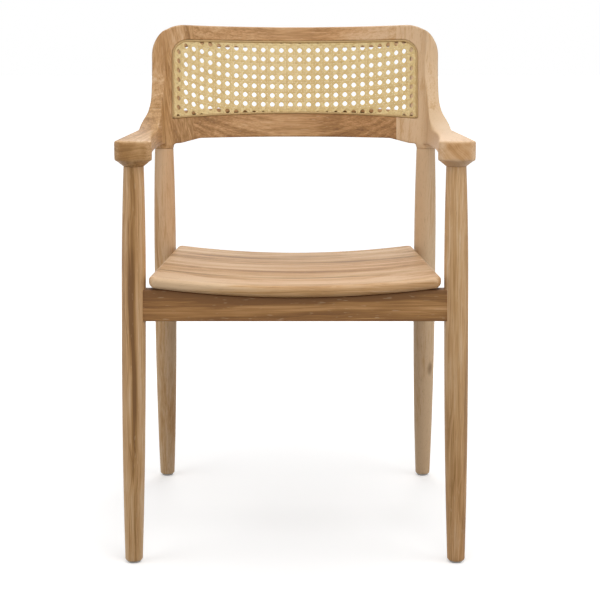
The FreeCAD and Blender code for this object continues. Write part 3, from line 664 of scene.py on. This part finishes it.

# %% [markdown]
# ## Rails under the seat
# The front and rear rails are straight, with lightly rounded edges, and their tops are hollowed to fit
# the seat. A bevelled box could be cut with a Boolean for that. Here the section is a rounded rectangle
# whose height is scaled at each station, so that its top follows the seat's underside. Their dark tone is
# partly painted shade for the seat above them, and a band of painted shade runs just below the seat.

# %% Section of a rail
rail_height, rail_thickness, rail_round = 0.050, 0.024, 0.0022
corner_steps, upright_steps = 5, 12


def rounded_section(width, height, radius):
    """A rounded rectangle about its middle, as x and y: four quarter circles joined by straight sides."""
    turns = np.linspace(0, math.pi / 2, corner_steps)
    across, up = width / 2 - radius, height / 2 - radius
    x, y = [], []
    for quarter, (side, level) in enumerate(((1, 1), (-1, 1), (-1, -1), (1, -1))):
        turn = turns + quarter * math.pi / 2
        x.append(side * across + radius * np.cos(turn))
        y.append(level * up + radius * np.sin(turn))
    return np.concatenate(x), np.concatenate(y)


def rail_section():
    """The rail's rounded rectangle, with more points along its two upright sides to carry the tone."""
    wide, tall = rounded_section(rail_thickness, rail_height, rail_round)
    count = len(wide)
    between = np.linspace(0, 1, upright_steps + 1)[1:-1]
    spots = np.sort(np.concatenate([np.arange(count), count // 2 - 1 + between, count - 1 + between]))
    return [np.interp(spots, np.arange(count + 1), np.append(line, line[0])) for line in (wide, tall)]


rail_wide, rail_tall = rail_section()
print("a rail's section has", len(rail_wide), "points")

# %% Straight rails
rail_end, rail_stations, seat_gap = 0.243, 81, 0.0003
# painted shade: the rails' dark tone partly stands for the seat's shade, and a band below the seat is darker
# still
rail_tone_and_shade = 0.21
seat_shade_darkness, seat_shade_reach = 0.28, 0.015
rail_planks = {"front": (0.6, 0.21, 0.33), "rear": (1.1, 0.21, 0.33)}


def seat_underside(x, y):
    """Height of the seat's lower face: half its thickness below its middle."""
    return seat_middle(x, y) - seat_thickness / 2


def cross_rail_surface(middle, top):
    """Sections along the chair's width, each scaled in height between a level base and the dished seat."""
    x = np.linspace(-rail_end, rail_end, rail_stations)
    room = np.minimum(top, seat_underside(x, middle) - seat_gap)
    base = top - rail_height
    z = base + (rail_tall + rail_height / 2) / rail_height * (room - base)[:, None]
    y = np.broadcast_to(middle + rail_wide, z.shape)
    return np.stack([np.broadcast_to(x[:, None], z.shape), y, z], axis=-1)


for row, plank in rail_planks.items():
    low, high = node_box(f"{row}_rail")
    middle = (low[1] + high[1]) / 2 - front_axis
    mesh = new_mesh(f"seat_rail_{row}", [carried(cross_rail_surface(middle, low[2] + rail_height))])
    x, _, z = vertex_places(mesh).T
    under_seat = np.minimum(high[2], seat_underside(x, middle)) - z
    # painted shade, darkest where the rail meets the seat and fading downwards over a short reach
    tone = rail_tone_and_shade + seat_shade_darkness * np.clip(1 - under_seat / seat_shade_reach, 0, 1)
    mark_timber(mesh, "x", plank, tone)
    finish_piece(mesh.name, mesh, "frame_teak", frame_teak, f"{row}_rail")

# %% [markdown]
# ## Arms and bent back
# Arms, stiles, crest rail and lower rail flow into each other with softly sanded edges. The form branches
# where arm, stile, rail and leg meet, so no single grid of two parameters can cover it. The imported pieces
# already have the right form with square edges. Their meshes are copied, merged into one skin, sampled
# evenly and sanded: every point moves towards the mean of its neighbours, less so beside the cane and
# on top of the legs, where the wood stays crisp. Then the skin is parted again at the joints.

# %% One skin over arms and back
back_nodes = ["arm_left", "arm_right", "stile_left", "stile_right", "crest_rail", "lower_rail"]
skin_pitch = 0.0012


def joined_skin(nodes):
    """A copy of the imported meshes, merged and covered by one even skin."""
    joined = bmesh.new()
    for node in nodes:
        joined.from_mesh(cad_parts[node].data)
    bmesh.ops.remove_doubles(joined, verts=joined.verts, dist=1e-6)
    mesh = bpy.data.meshes.new("bent_frame_blank")
    joined.to_mesh(mesh)
    joined.free()
    blank = linked("bent_frame_blank", mesh)
    cover = blank.modifiers.new("skin", "REMESH")
    cover.mode = "VOXEL"
    cover.voxel_size = skin_pitch
    cover.adaptivity = 0.0
    bpy.context.view_layer.update()
    evaluated = blank.evaluated_get(bpy.context.evaluated_depsgraph_get())
    skin = bpy.data.meshes.new_from_object(evaluated)
    bpy.data.objects.remove(blank)
    bpy.data.meshes.remove(mesh)
    return skin


skin = joined_skin(back_nodes)
print("skin of", len(skin.vertices), "points")

# %% [markdown]
# ## Sanding
# One pass of sanding replaces each point by a mix of itself and the mean of its neighbours. Flat and
# gently curved wood stays where it is, and edges grow round with each pass. A bevel modifier would need
# clean edges to follow, and a skin of even squares has none. How far a point has moved in all tells how
# much wood was taken off there, which is also where a used chair looks worn.

# %% Outline of the cane
back_depth, back_radius, back_lean = 0.498, 0.374, math.radians(11.5)
arc_centre = back_depth - back_radius
cane_half, cane_low, cane_high, cane_corner = 0.225, 0.689, 0.832, 0.028
cane_dip, cane_bow = 0.0018, 0.006


def cane_top_at(x):
    """Top of the cane's outline from the front: a shallow dip between two rounded corners."""
    flat = cane_half - cane_corner
    dip = cane_dip * (1 - np.clip(np.abs(x) / flat, 0, 1) ** 2)
    past = np.clip(np.abs(x) - flat, 0, cane_corner)
    return cane_high - dip - (cane_corner - np.sqrt(cane_corner ** 2 - past ** 2))


def cane_bottom_at(x):
    """Bottom of the cane's outline: a parabola, highest in the middle."""
    return cane_low + cane_bow * (1 - np.clip(np.abs(x) / cane_half, 0, 1) ** 2)


def distance_to_cane(points):
    """Rough distance from the cane's outline, seen from the front; negative inside it."""
    x, z = points[:, 0], points[:, 2]
    return np.maximum.reduce([np.abs(x) - cane_half, z - cane_top_at(x), cane_bottom_at(x) - z])


print("the cane is", round(float(cane_top_at(0.0) - cane_bottom_at(0.0)), 4), "high in the middle")

# %% Sanded edges
behind_from = 0.36             # depth at which the back begins
cane_margin, cane_fade, cane_least = 0.001, 0.007, 0.06
shoulder_margin, shoulder_fade, shoulder_least = 0.001, 0.006, 0.03
stile_crease, crease_reach, crease_share = 0.243, 0.008, 0.2
sanding_passes, sanding_strength, worn_depth = 20, 0.5, 0.0012


def neighbour_mean(points, edges, count):
    """Mean place of the points that share an edge with each point: their sum by their number."""
    total = np.zeros_like(points)
    for axis in range(3):
        total[:, axis] = (np.bincount(edges[:, 0], points[edges[:, 1], axis], count)
                          + np.bincount(edges[:, 1], points[edges[:, 0], axis], count))
    return total / np.bincount(edges.ravel(), minlength=count)[:, None]


def sanding_weight(points):
    """How freely each point moves: little beside the cane, on top of the legs and at the stiles' crease."""
    x, y, z = points.T
    behind = y - front_axis > behind_from
    weight = np.clip((np.abs(distance_to_cane(points)) - cane_margin) / cane_fade, cane_least, 1.0)
    weight = np.where(behind, weight, 1.0)
    weight = weight * np.clip((z - shoulder_height - shoulder_margin) / shoulder_fade, shoulder_least, 1.0)
    at_crease = behind & (np.abs(np.abs(x) - stile_crease) < crease_reach) & (z > arm_top)
    return np.where(at_crease, crease_share * weight, weight)


def sand(mesh):
    """Moves every point towards its neighbours' mean, pass by pass, and returns how far each one moved."""
    edges = np.empty(len(mesh.edges) * 2, np.int32)
    mesh.edges.foreach_get("vertices", edges)
    edges = edges.reshape(-1, 2)
    start = vertex_places(mesh)
    points = start.copy()
    weight = sanding_weight(start)[:, None] * sanding_strength
    for _ in range(sanding_passes):
        points += weight * (neighbour_mean(points, edges, len(points)) - points)
    mesh.vertices.foreach_set("co", points.astype(np.float32).ravel())
    mesh.update()
    return np.linalg.norm(points - start, axis=1)


sanded_away = sand(skin)
store(skin, "worn", np.clip(sanded_away / worn_depth, 0, 1))
print("most wood taken off", round(float(sanded_away.max()) * 1000, 2), "mm")

# %% [markdown]
# ## Parting the skin at the joints
# Each joint is a plane: level across the arm where it meets the stile, and square to the curve of the
# back where a rail meets the stile. The skin is cut at the planes, and each cut is closed with a face. A
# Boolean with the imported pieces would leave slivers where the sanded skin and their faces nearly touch.

# %% Joints as planes
arm_joint_depth = 0.387
rail_joint_angle = math.radians(30.0)


def rail_joint(side):
    """Point and normal of the joint between rail and stile: the angle on the arc, turned by the lean."""
    across = np.array([side * math.cos(rail_joint_angle), -math.sin(rail_joint_angle), 0.0])
    lean = np.array([[1, 0, 0], [0, math.cos(back_lean), math.sin(back_lean)],
                     [0, -math.sin(back_lean), math.cos(back_lean)]])
    tip = np.array([0.0, arc_centre - back_depth, 0.0])
    point = lean @ tip + np.array([0.0, back_depth + front_axis, arm_top])
    return tuple(point), tuple(lean @ across)


def flipped(plane):
    """The same plane with its normal turned round."""
    point, normal = plane
    return point, tuple(-part for part in normal)


arm_joint = ((0.0, arm_joint_depth + front_axis, 0.0), (0.0, -1.0, 0.0))
left_joint, right_joint = rail_joint(-1), rail_joint(1)
print("the left rail joint faces", [round(float(part), 3) for part in left_joint[1]])

# %% Arms, stiles and rails
inner_painted_shade = 0.02          # painted shade on the stiles' faces towards the chair's middle
back_middle = (back_top + arm_top) / 2
left_only, right_only = ((0.0, 0.0, 0.0), (1.0, 0.0, 0.0)), ((0.0, 0.0, 0.0), (-1.0, 0.0, 0.0))
above_only = ((0.0, 0.0, back_middle), (0.0, 0.0, -1.0))
between_stiles = [left_joint, right_joint]
parts = {
    "bent_arm_left": ("arm_left", [flipped(arm_joint), left_only], "y", (0.2, 0.1, 0.5), 0.03),
    "bent_arm_right": ("arm_right", [flipped(arm_joint), right_only], "y", (0.9, 0.4, 0.2), -0.24),
    "bent_stile_left": ("stile_left", [arm_joint, flipped(left_joint)], "z", (0.3, 0.7, 0.1), 0.01),
    "bent_stile_right": ("stile_right", [arm_joint, flipped(right_joint)], "z", (1.4, 0.2, 0.6), -0.20),
    "bent_crest": ("crest_rail", between_stiles + [above_only], "x", (0.4, 0.35, 0.9), -0.06),
    "bent_lower_rail": ("lower_rail", between_stiles + [flipped(above_only)], "x", (1.2, 0.65, 0.3), 0.13),
}


def parted(name, source, cuts):
    """A copy of the skin cut at each (point, normal); what lies on the normal's side is taken away."""
    piece = bmesh.new()
    piece.from_mesh(source)
    for point, normal in cuts:
        geometry = piece.verts[:] + piece.edges[:] + piece.faces[:]
        cut = bmesh.ops.bisect_plane(piece, geom=geometry, plane_co=point, plane_no=normal, clear_outer=True)
        rim = [item for item in cut["geom_cut"] if isinstance(item, bmesh.types.BMEdge)]
        bmesh.ops.holes_fill(piece, edges=rim, sides=0)
    mesh = bpy.data.meshes.new(name)
    piece.to_mesh(mesh)
    piece.free()
    return mesh


def facing_middle(mesh):
    """How squarely each point faces the chair's middle: its normal's sideways part, from 0 to 1."""
    return np.clip(-np.sign(vertex_places(mesh)[:, 0]) * vertex_normals(mesh)[:, 0], 0, 1)


for name, (node, cuts, grain, shift, darkness) in parts.items():
    mesh = parted(name, skin, cuts)
    wear = np.empty(len(mesh.vertices), np.float32)
    mesh.attributes["worn"].data.foreach_get("value", wear)
    mesh.attributes.remove(mesh.attributes["worn"])
    # painted shade on the stiles' inner faces is added to their tone
    mark_timber(mesh, grain, shift, darkness + inner_painted_shade * facing_middle(mesh) * (grain == "z"), wear)
    finish_piece(name, mesh, "frame_teak", frame_teak, node, crisp_angle=50)
bpy.data.meshes.remove(skin)

# %% [markdown]
# ## Cane
# Open cane is split rattan woven in six passes: two upright, two level and one on each slant. Between them
# stay eight-sided holes. A picture with clear holes would look flat from near by, so each strand is a thin
# ribbon with a crowned face. On the flat sheet its centre line is a straight line whose depth waves, so
# that it passes over and under what it crosses. The flat sheet is then rolled onto the leaning curve of
# the back, all strands of a pass at once.

# %% The sheet rolled onto the back
cane_pitch = 0.0171
cane_depth = 0.00145           # middle of the weave behind the front face of the back
sheet_side, sheet_gather, sheet_limit = 0.206, 0.0020, 1.15
left_draw, right_draw = 0.0115, 0.0030
row_shift = 0.0016             # moves the rows of holes up or down the sheet
sheet_middle_v = (0.5 * (cane_low + cane_high) - arm_top) / math.cos(back_lean) + row_shift


def rolled(u, v, depth):
    """Flat sheet to space: u winds round the back's arc, v climbs the lean, depth goes behind its face.

    Pressed into its groove, the sheet is drawn up at the sides by the fourth power of u, more so on the
    left, and gathered there by the seventh.
    """
    share = np.clip(u / sheet_side, -sheet_limit, sheet_limit)
    v = v + np.where(u < 0, left_draw, right_draw) * share ** 4
    u = u - sheet_gather * share ** 7
    angle = u / back_radius
    radius = back_radius + depth
    across = radius * np.sin(angle)
    behind = arc_centre + radius * np.cos(angle) - back_depth
    y = back_depth + behind * math.cos(back_lean) + v * math.sin(back_lean)
    z = arm_top - behind * math.sin(back_lean) + v * math.cos(back_lean)
    return np.stack([across, y, z], axis=-1)


sheet_middle = rolled(np.array(0.0), np.array(sheet_middle_v), cane_depth)
print("the sheet's middle lies at", np.round(sheet_middle, 4).tolist())

# %% Ribbons within the outline
strand_width, strand_thickness, strand_crown = 0.0040, 0.00032, 0.00022
strand_side = np.array([-0.5, -0.25, 0.25, 0.5, 0.46, -0.46]) * strand_width
strand_lift = np.array([0.0, -strand_crown, -strand_crown, 0.0, strand_thickness, strand_thickness])
strand_margin, strand_reach, least_strand = 0.0022, 0.34, 0.006
places_tried = 4001


def inside_cane(u, v):
    """True where a point of the sheet lies inside the cane's outline, drawn in by a margin."""
    place = rolled(u, v, cane_depth)
    x, z = place[..., 0], place[..., 2]
    return ((np.abs(x) < cane_half - strand_margin) & (z < cane_top_at(x) - strand_margin)
            & (z > cane_bottom_at(x) + strand_margin))


def strand_ends(line):
    """First and last place along each line of the sheet that lies inside the outline."""
    t = np.linspace(-strand_reach, strand_reach, places_tried)
    inside = inside_cane(*line(t))
    first = t[inside.argmax(axis=1)]
    last = t[inside.shape[1] - 1 - inside[:, ::-1].argmax(axis=1)]
    return inside.any(axis=1) & (last - first > least_strand), first, last


def ribbons(start, slope, samples, wave, parity):
    """Ribbons along start + t * slope, waving in depth; six points to a section, crowned at the front."""
    start_u, start_v = np.broadcast_arrays(*start)
    slope_u, slope_v = slope

    def line(t):
        """Places on the sheet: start plus t times slope, one row to a line."""
        return start_u[:, None] + slope_u * t, start_v[:, None] + slope_v * t

    kept, first, last = strand_ends(line)
    u, v = line(first[:, None] + (last - first)[:, None] * np.linspace(0, 1, samples))
    u, v = u[kept], v[kept]
    depth = cane_depth + parity * wave(u, v)
    return rolled(u[..., None] - slope_v * strand_side, v[..., None] + slope_u * strand_side,
                  depth[..., None] + strand_lift)


print("a strand's section has", len(strand_side), "points")

# %% Six passes of strands
pair_offset = 0.0022
weave_wave, slant_wave = 0.00046, 0.00052
turn_per_pitch = 2 * math.pi / cane_pitch
diagonal = math.sqrt(0.5)
upright_samples, level_samples, slant_samples = 37, 121, 53
column_reach, row_reach, slant_reach = 15, 9, 24


def upright_depth(u, v):
    """Depth of an upright strand: a sine of its way up, one turn to a pitch, still at each row of holes."""
    return weave_wave * np.sin(turn_per_pitch * (v - sheet_middle_v))


def level_depth(u, v):
    """Depth of a level strand: the opposite sine of its way across, still at each column of holes."""
    return -weave_wave * np.sin(turn_per_pitch * (u - cane_pitch / 2))


def slant_depth(u, v):
    """Depth of a slanting strand: a cosine of its way up, one turn to a pitch."""
    return slant_wave * np.cos(turn_per_pitch * (v - sheet_middle_v))


columns = np.arange(-column_reach, column_reach + 1) * cane_pitch
rows = sheet_middle_v + (np.arange(-row_reach, row_reach) + 0.5) * cane_pitch
slants = (np.arange(-slant_reach, slant_reach) + 0.5) * cane_pitch + cane_pitch / 2
passes = []
for parity in (-1, 1):
    offset = parity * pair_offset
    passes += [
        ribbons((columns + offset, sheet_middle_v), (0.0, 1.0), upright_samples, upright_depth, -parity),
        ribbons((0.0, rows + offset), (1.0, 0.0), level_samples, level_depth, -parity),
        ribbons((slants, sheet_middle_v), (parity * diagonal, diagonal), slant_samples, slant_depth, parity),
    ]
print("strands in each pass", [len(strands) for strands in passes])

# %% [markdown]
# ## Looks of the cane
# Rattan skin is straw coloured and a little glossy, with fine lines along each strand. Each strand is
# from another stem, so its colour differs. One attribute carries that to a material which all strands
# share: the way across and along a strand, and a tone drawn once for each strand from a seeded generator.
# A material for each strand would give the same look with two hundred times the nodes.

# %% Strand material
line_scale, blotch_scale = (3200.0, 26.0, 400.0), (200.0, 60.0, 400.0)


def strand_material(name, pale, deep, gloss):
    """Straw with lines along the strand, blotches and a tone to each strand, summed to pick the colour."""
    material, tree, shader = new_material(name)
    strand = add_node(tree, "ShaderNodeAttribute", attribute_name="strand").outputs["Vector"]
    lines = noise(tree, stretched(tree, strand, line_scale), 3.0, 0.6)
    blotch = noise(tree, stretched(tree, strand, blotch_scale), 2.0)
    tone = add_node(tree, "ShaderNodeSeparateXYZ", {0: strand}).outputs[2]
    mixed = plus(tree, times(tree, lines, 0.45), times(tree, blotch, 0.30))
    mixed = plus(tree, mixed, times(tree, tone, 0.28))
    bump = add_node(tree, "ShaderNodeBump", {"Height": lines, "Strength": 0.3, "Distance": 0.0003})
    feed(shader, {"Base Color": ramp(tree, mixed, [(0.30, deep), (0.72, pale)]),
                  "Roughness": plus(tree, gloss, times(tree, lines, 0.22)), "Normal": bump.outputs["Normal"]})
    return material


cane_material = strand_material("cane_skin", (0.84, 0.67, 0.34), (0.66, 0.46, 0.175), 0.30)
spline_material = strand_material("reed_bead", (0.62, 0.43, 0.20), (0.40, 0.25, 0.09), 0.42)
print("strand materials with", len(cane_material.node_tree.nodes), "nodes each")

# %% The woven panel
strand_length, strand_girth, stem_length, tone_seed = 0.3, 0.006, 9, 7


def strand_places(shape, length, girth, start, tone):
    """For each point of a strand's surface: the way round it, the way along it from a start, and its tone."""
    along = start + np.linspace(0, length, shape[0])[:, None]
    around = np.linspace(0, girth, shape[1])
    return np.stack(np.broadcast_arrays(around, along, tone), axis=-1).reshape(-1, 3)


tones = np.random.default_rng(tone_seed)
all_strands = [points for strands in passes for points in strands]
places = [strand_places(points.shape[:2], strand_length, strand_girth,
                        tones.uniform(0, stem_length), tones.uniform()) for points in all_strands]
cane_mesh = new_mesh("woven_cane", [carried(points) for points in all_strands])
store(cane_mesh, "strand", np.concatenate(places))
finish_piece("woven_cane", cane_mesh, "cane", cane_material, "cane_panel", crisp_angle=60)

# %% [markdown]
# ## Spline
# A bead of reed is tapped into the groove to hold the cane. One length goes up, over and down, the other
# lies along the bottom. A bevelled curve would do for a straight bead; here a half-round section is
# carried along the outline of the panel and laid onto the back with the formula of its curve.

# %% Paths of the bead
bead_half, bead_proud, bead_depth, bead_rim = 0.0019, 0.0010, 0.0030, 0.0004
groove_width, groove_slack = 0.0046, 0.0002
groove_middle = groove_width / 2 - groove_slack
path_samples, rise_samples, turn_samples = 150, 30, 20


def upper_path(inset):
    """Outline of the panel without its bottom edge, as x and z: up, round two corners, along and down."""
    half, radius = cane_half - inset, cane_corner - inset
    rise = np.linspace(cane_low + inset, cane_high - cane_corner, rise_samples)
    turn = np.linspace(0, math.pi / 2, turn_samples)[1:-1]
    top = np.linspace(-(half - radius), half - radius, path_samples)
    corner_x = half - radius + radius * np.cos(turn)
    corner_z = cane_high - cane_corner + radius * np.sin(turn)
    upright = np.full(rise_samples, half)
    x = np.concatenate([-upright, -corner_x, top, corner_x[::-1], upright])
    z = np.concatenate([rise, corner_z, cane_top_at(top) - inset, corner_z[::-1], rise[::-1]])
    return x, z


def lower_path(inset):
    """Bottom edge of the panel's outline as x and z, ending beside the upper bead."""
    half = cane_half - inset - bead_half
    x = np.linspace(-half, half, path_samples)
    return x, cane_bottom_at(x) + inset


bead_paths = {"upper": upper_path(groove_middle), "lower": lower_path(groove_middle)}
print("points along the beads", {level: len(path[0]) for level, path in bead_paths.items()})

# %% Reed bead
bead_length, bead_girth, bead_tone, bead_steps = 1.1, 0.008, 0.5, 9


def on_back(x, z, depth):
    """A point seen from the front at x and z, laid on the back's curve at a depth behind its face."""
    plan = arc_centre + np.sqrt((back_radius + depth) ** 2 - x ** 2)
    y = back_depth + (plan - back_depth) / math.cos(back_lean) + (z - arm_top) * math.tan(back_lean)
    return np.stack([x, y, z], axis=-1)


def bead(path):
    """A half-round section carried along a path on the back; its normal lies in the front view."""
    x, z = path
    way = np.stack([np.gradient(x), np.gradient(z)], axis=-1)
    way /= np.linalg.norm(way, axis=1)[:, None]
    turn = np.linspace(0, math.pi, bead_steps)
    side = np.concatenate([bead_half * np.cos(turn), [-bead_half, bead_half]])
    depth = np.concatenate([bead_rim - (bead_proud + bead_rim) * np.sin(turn), [bead_depth, bead_depth]])
    across_x = x[:, None] - way[:, 1:] * side
    across_z = z[:, None] + way[:, :1] * side
    return on_back(across_x, across_z, np.broadcast_to(depth, across_x.shape))


for level, path in bead_paths.items():
    points = bead(path)
    mesh = new_mesh(f"reed_bead_{level}", [carried(points)])
    store(mesh, "strand", strand_places(points.shape[:2], bead_length, bead_girth, 0.0, bead_tone))
    finish_piece(mesh.name, mesh, "reed_spline", spline_material, f"cane_spline_{level}")

# %% [markdown]
# ## Pieces that stay as they were packed
# Side rails, corner blocks, screws and loose tenons sit inside the chair. They could be made again with
# soft edges, but nobody would see it, so they stay as they were packed and only get a finish.

# %% Hidden joinery


def plain_teak(name, darkness):
    """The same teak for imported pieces, which have no attributes, so it reads Object coordinates."""
    material, tree, shader = new_material(name)
    place = add_node(tree, "ShaderNodeTexCoord").outputs["Object"]
    turned = add_node(tree, "ShaderNodeMapping", {"Vector": place, "Rotation": (math.pi / 2, 0.0, 0.0)})
    inputs = {"Timber": turned.outputs["Vector"], "Darkness": darkness}
    figure = add_node(tree, "ShaderNodeGroup", inputs, node_tree=teak_figure).outputs
    feed(shader, {"Base Color": figure["Colour"], "Roughness": figure["Roughness"]})
    return material


hidden_teak = plain_teak("hidden_teak", 0.05)
tenon_wood = plain_teak("tenon_wood", -0.04)
steel = mottled_material("screw_steel", (800.0, 800.0, 200.0), (0.42, 0.41, 0.38), (0.62, 0.61, 0.58),
                         0.25, 0.25, metallic=1.0)
for node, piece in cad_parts.items():
    finish = hidden_teak
    if "tenons" in node:
        finish = tenon_wood
    if node == "seat_screws":
        finish = steel
    piece.data.materials.clear()
    piece.data.materials.append(finish)
print("finishes on", len(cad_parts), "packed nodes")

# %% [markdown]
# ## Studio
# The chair stands in a white studio, on a pale floor that keeps its shadow. Floor and background are white
# where they are seen, also in reflections, and a softer grey as light, so they don't wash out the wood.
# The floor's own glow grows away from the chair: far off it runs into the background, and under the chair
# the shadow stays. Plain white paper under strong lamps could do the same, but the wood would turn pale.

# %% Floor
studio_half = 60.0
floor_glow, far_glow = 0.40, 0.24
near_reach, far_reach = 0.45, 1.20
paper_lit, paper_seen = (0.24, 0.24, 0.24, 1.0), (0.86, 0.86, 0.86, 1.0)
white = (1.0, 1.0, 1.0, 1.0)


def seen_directly(tree):
    """1 for what the camera sees, also through glass and in reflections, and 0 for what only gives light."""
    path = add_node(tree, "ShaderNodeLightPath").outputs
    seen = calc(tree, "MAXIMUM", path["Is Camera Ray"], path["Is Transmission Ray"])
    return calc(tree, "MAXIMUM", seen, path["Is Glossy Ray"])


def floor_material():
    """White where it is seen, with a glow that grows with the distance from the chair; grey as light."""
    material, tree, shader = new_material("studio_floor")
    shader.inputs["Roughness"].default_value = 0.9
    shader.inputs["Specular IOR Level"].default_value = 0.0
    shader.inputs["Emission Color"].default_value = white
    seen = seen_directly(tree)
    place = add_node(tree, "ShaderNodeNewGeometry").outputs["Position"]
    away = add_node(tree, "ShaderNodeVectorMath", {0: place}, operation="LENGTH").outputs["Value"]
    growth = steps_between(tree, away, near_reach, far_reach)
    glow = plus(tree, floor_glow, times(tree, growth, far_glow))
    feed(shader, {"Base Color": blend(tree, seen, paper_lit, paper_seen),
                  "Emission Strength": times(tree, seen, glow)})
    return material


def flat_square(name, half, material):
    """A level square about the origin, for the stage only."""
    mesh = bpy.data.meshes.new(name)
    corners = [(-half, -half, 0.0), (half, -half, 0.0), (half, half, 0.0), (-half, half, 0.0)]
    mesh.from_pydata(corners, [], [(0, 1, 2, 3)])
    mesh.materials.append(material)
    square = linked(name, mesh)


flat_square("studio_floor", studio_half, floor_material())
print("a floor", 2 * studio_half, "m wide")

# %% Background
world_level = 0.15


def studio_world():
    """White where it is seen and in reflections, a softer grey as light."""
    world = bpy.data.worlds.new("studio")
    world.use_nodes = True
    tree = world.node_tree
    background = tree.nodes["Background"]
    background.inputs["Color"].default_value = white
    extra = times(tree, seen_directly(tree), 1.0 - world_level)
    feed(background, {"Strength": plus(tree, world_level, extra)})
    return world


bpy.context.scene.world = studio_world()
print("the background gives", world_level, "of its white as light")

# %% [markdown]
# ## Lamps
# Wide, far lamps above and at both sides give an even light. Near lamps in front, behind and low at the
# sides then lift what is close to them: the arms, the back and the legs. One bright sky could light the
# chair alone, but every face would get the same light, and the form would look flat.

# %% Lamps
far_lamps = {                  # where the light comes from, its spread in degrees and its level
    "lamp_above": ((0.0, 0.0, 1.0), 70, 0.23),
    "lamp_right": ((1.0, -0.50, 0.40), 60, 0.22),
    "lamp_left": ((-1.0, -0.50, 0.40), 60, 0.20),
}
near_lamps = {                 # place, aim, size in metres and power in watts
    "lamp_front": ((0.15, -1.05, 1.60), (0.0, 0.1, 0.75), 0.9, 8.5),
    "lamp_behind": ((0.1, 1.5, 2.10), (0.0, 0.25, 0.70), 1.2, 14.0),
    "lamp_low_right": ((1.5, -0.75, 0.42), (0.0, 0.0, 0.25), 1.0, 4.8),
    "lamp_low_left": ((-1.5, -0.75, 0.42), (0.0, 0.0, 0.25), 1.0, 4.6),
}


def far_lamp(name, direction, spread, level):
    """A far lamp as wide as its spread; at level 1 a surface that faces it shows its own colour."""
    lamp = bpy.data.lights.new(name, "SUN")
    lamp.energy = level * math.pi
    lamp.angle = math.radians(spread)
    linked(name, lamp).rotation_euler = Vector(direction).to_track_quat("Z", "Y").to_euler()


def near_lamp(name, place, aim, size, power):
    """A square lamp close to the chair, so that the nearest parts get the most of it."""
    lamp = bpy.data.lights.new(name, "AREA")
    lamp.size = size
    lamp.energy = power
    holder = linked(name, lamp)
    holder.location = place
    holder.rotation_euler = (Vector(place) - Vector(aim)).to_track_quat("Z", "Y").to_euler()
    holder.visible_camera = False


for name, setting in far_lamps.items():
    far_lamp(name, *setting)
for name, setting in near_lamps.items():
    near_lamp(name, *setting)
print("lamps", len(bpy.data.lights))

# %% [markdown]
# ## Camera
# The camera stands in front of the chair and a little above the seat, and looks slightly down. Its lens,
# height and distance follow from how the chair's known sizes appear in a square picture of 600 by 600.
# They could be found by trying, but a fit to many known points gives all of them together.

# %% Camera
picture_width = 600.0
focal_pixels = 1376.0
chair_middle_pixel = 295.0
camera_distance, camera_height = 2.11, 0.798
camera_pitch = math.radians(9.97)

camera = bpy.data.cameras.new("camera")
camera.sensor_width = 36.0
camera.lens = focal_pixels / picture_width * camera.sensor_width
camera.shift_x = (picture_width / 2 - chair_middle_pixel) / picture_width
holder = linked("camera", camera)
holder.location = (0.0, front_axis - camera_distance, camera_height)
holder.rotation_euler = (math.pi / 2 - camera_pitch, 0.0, 0.0)
bpy.context.scene.camera = holder
bpy.context.scene.view_settings.view_transform = "Standard"
print("lens", round(camera.lens, 2), "mm")

# %% [markdown]
# The dressed chair has to stay within the imported chair's box.
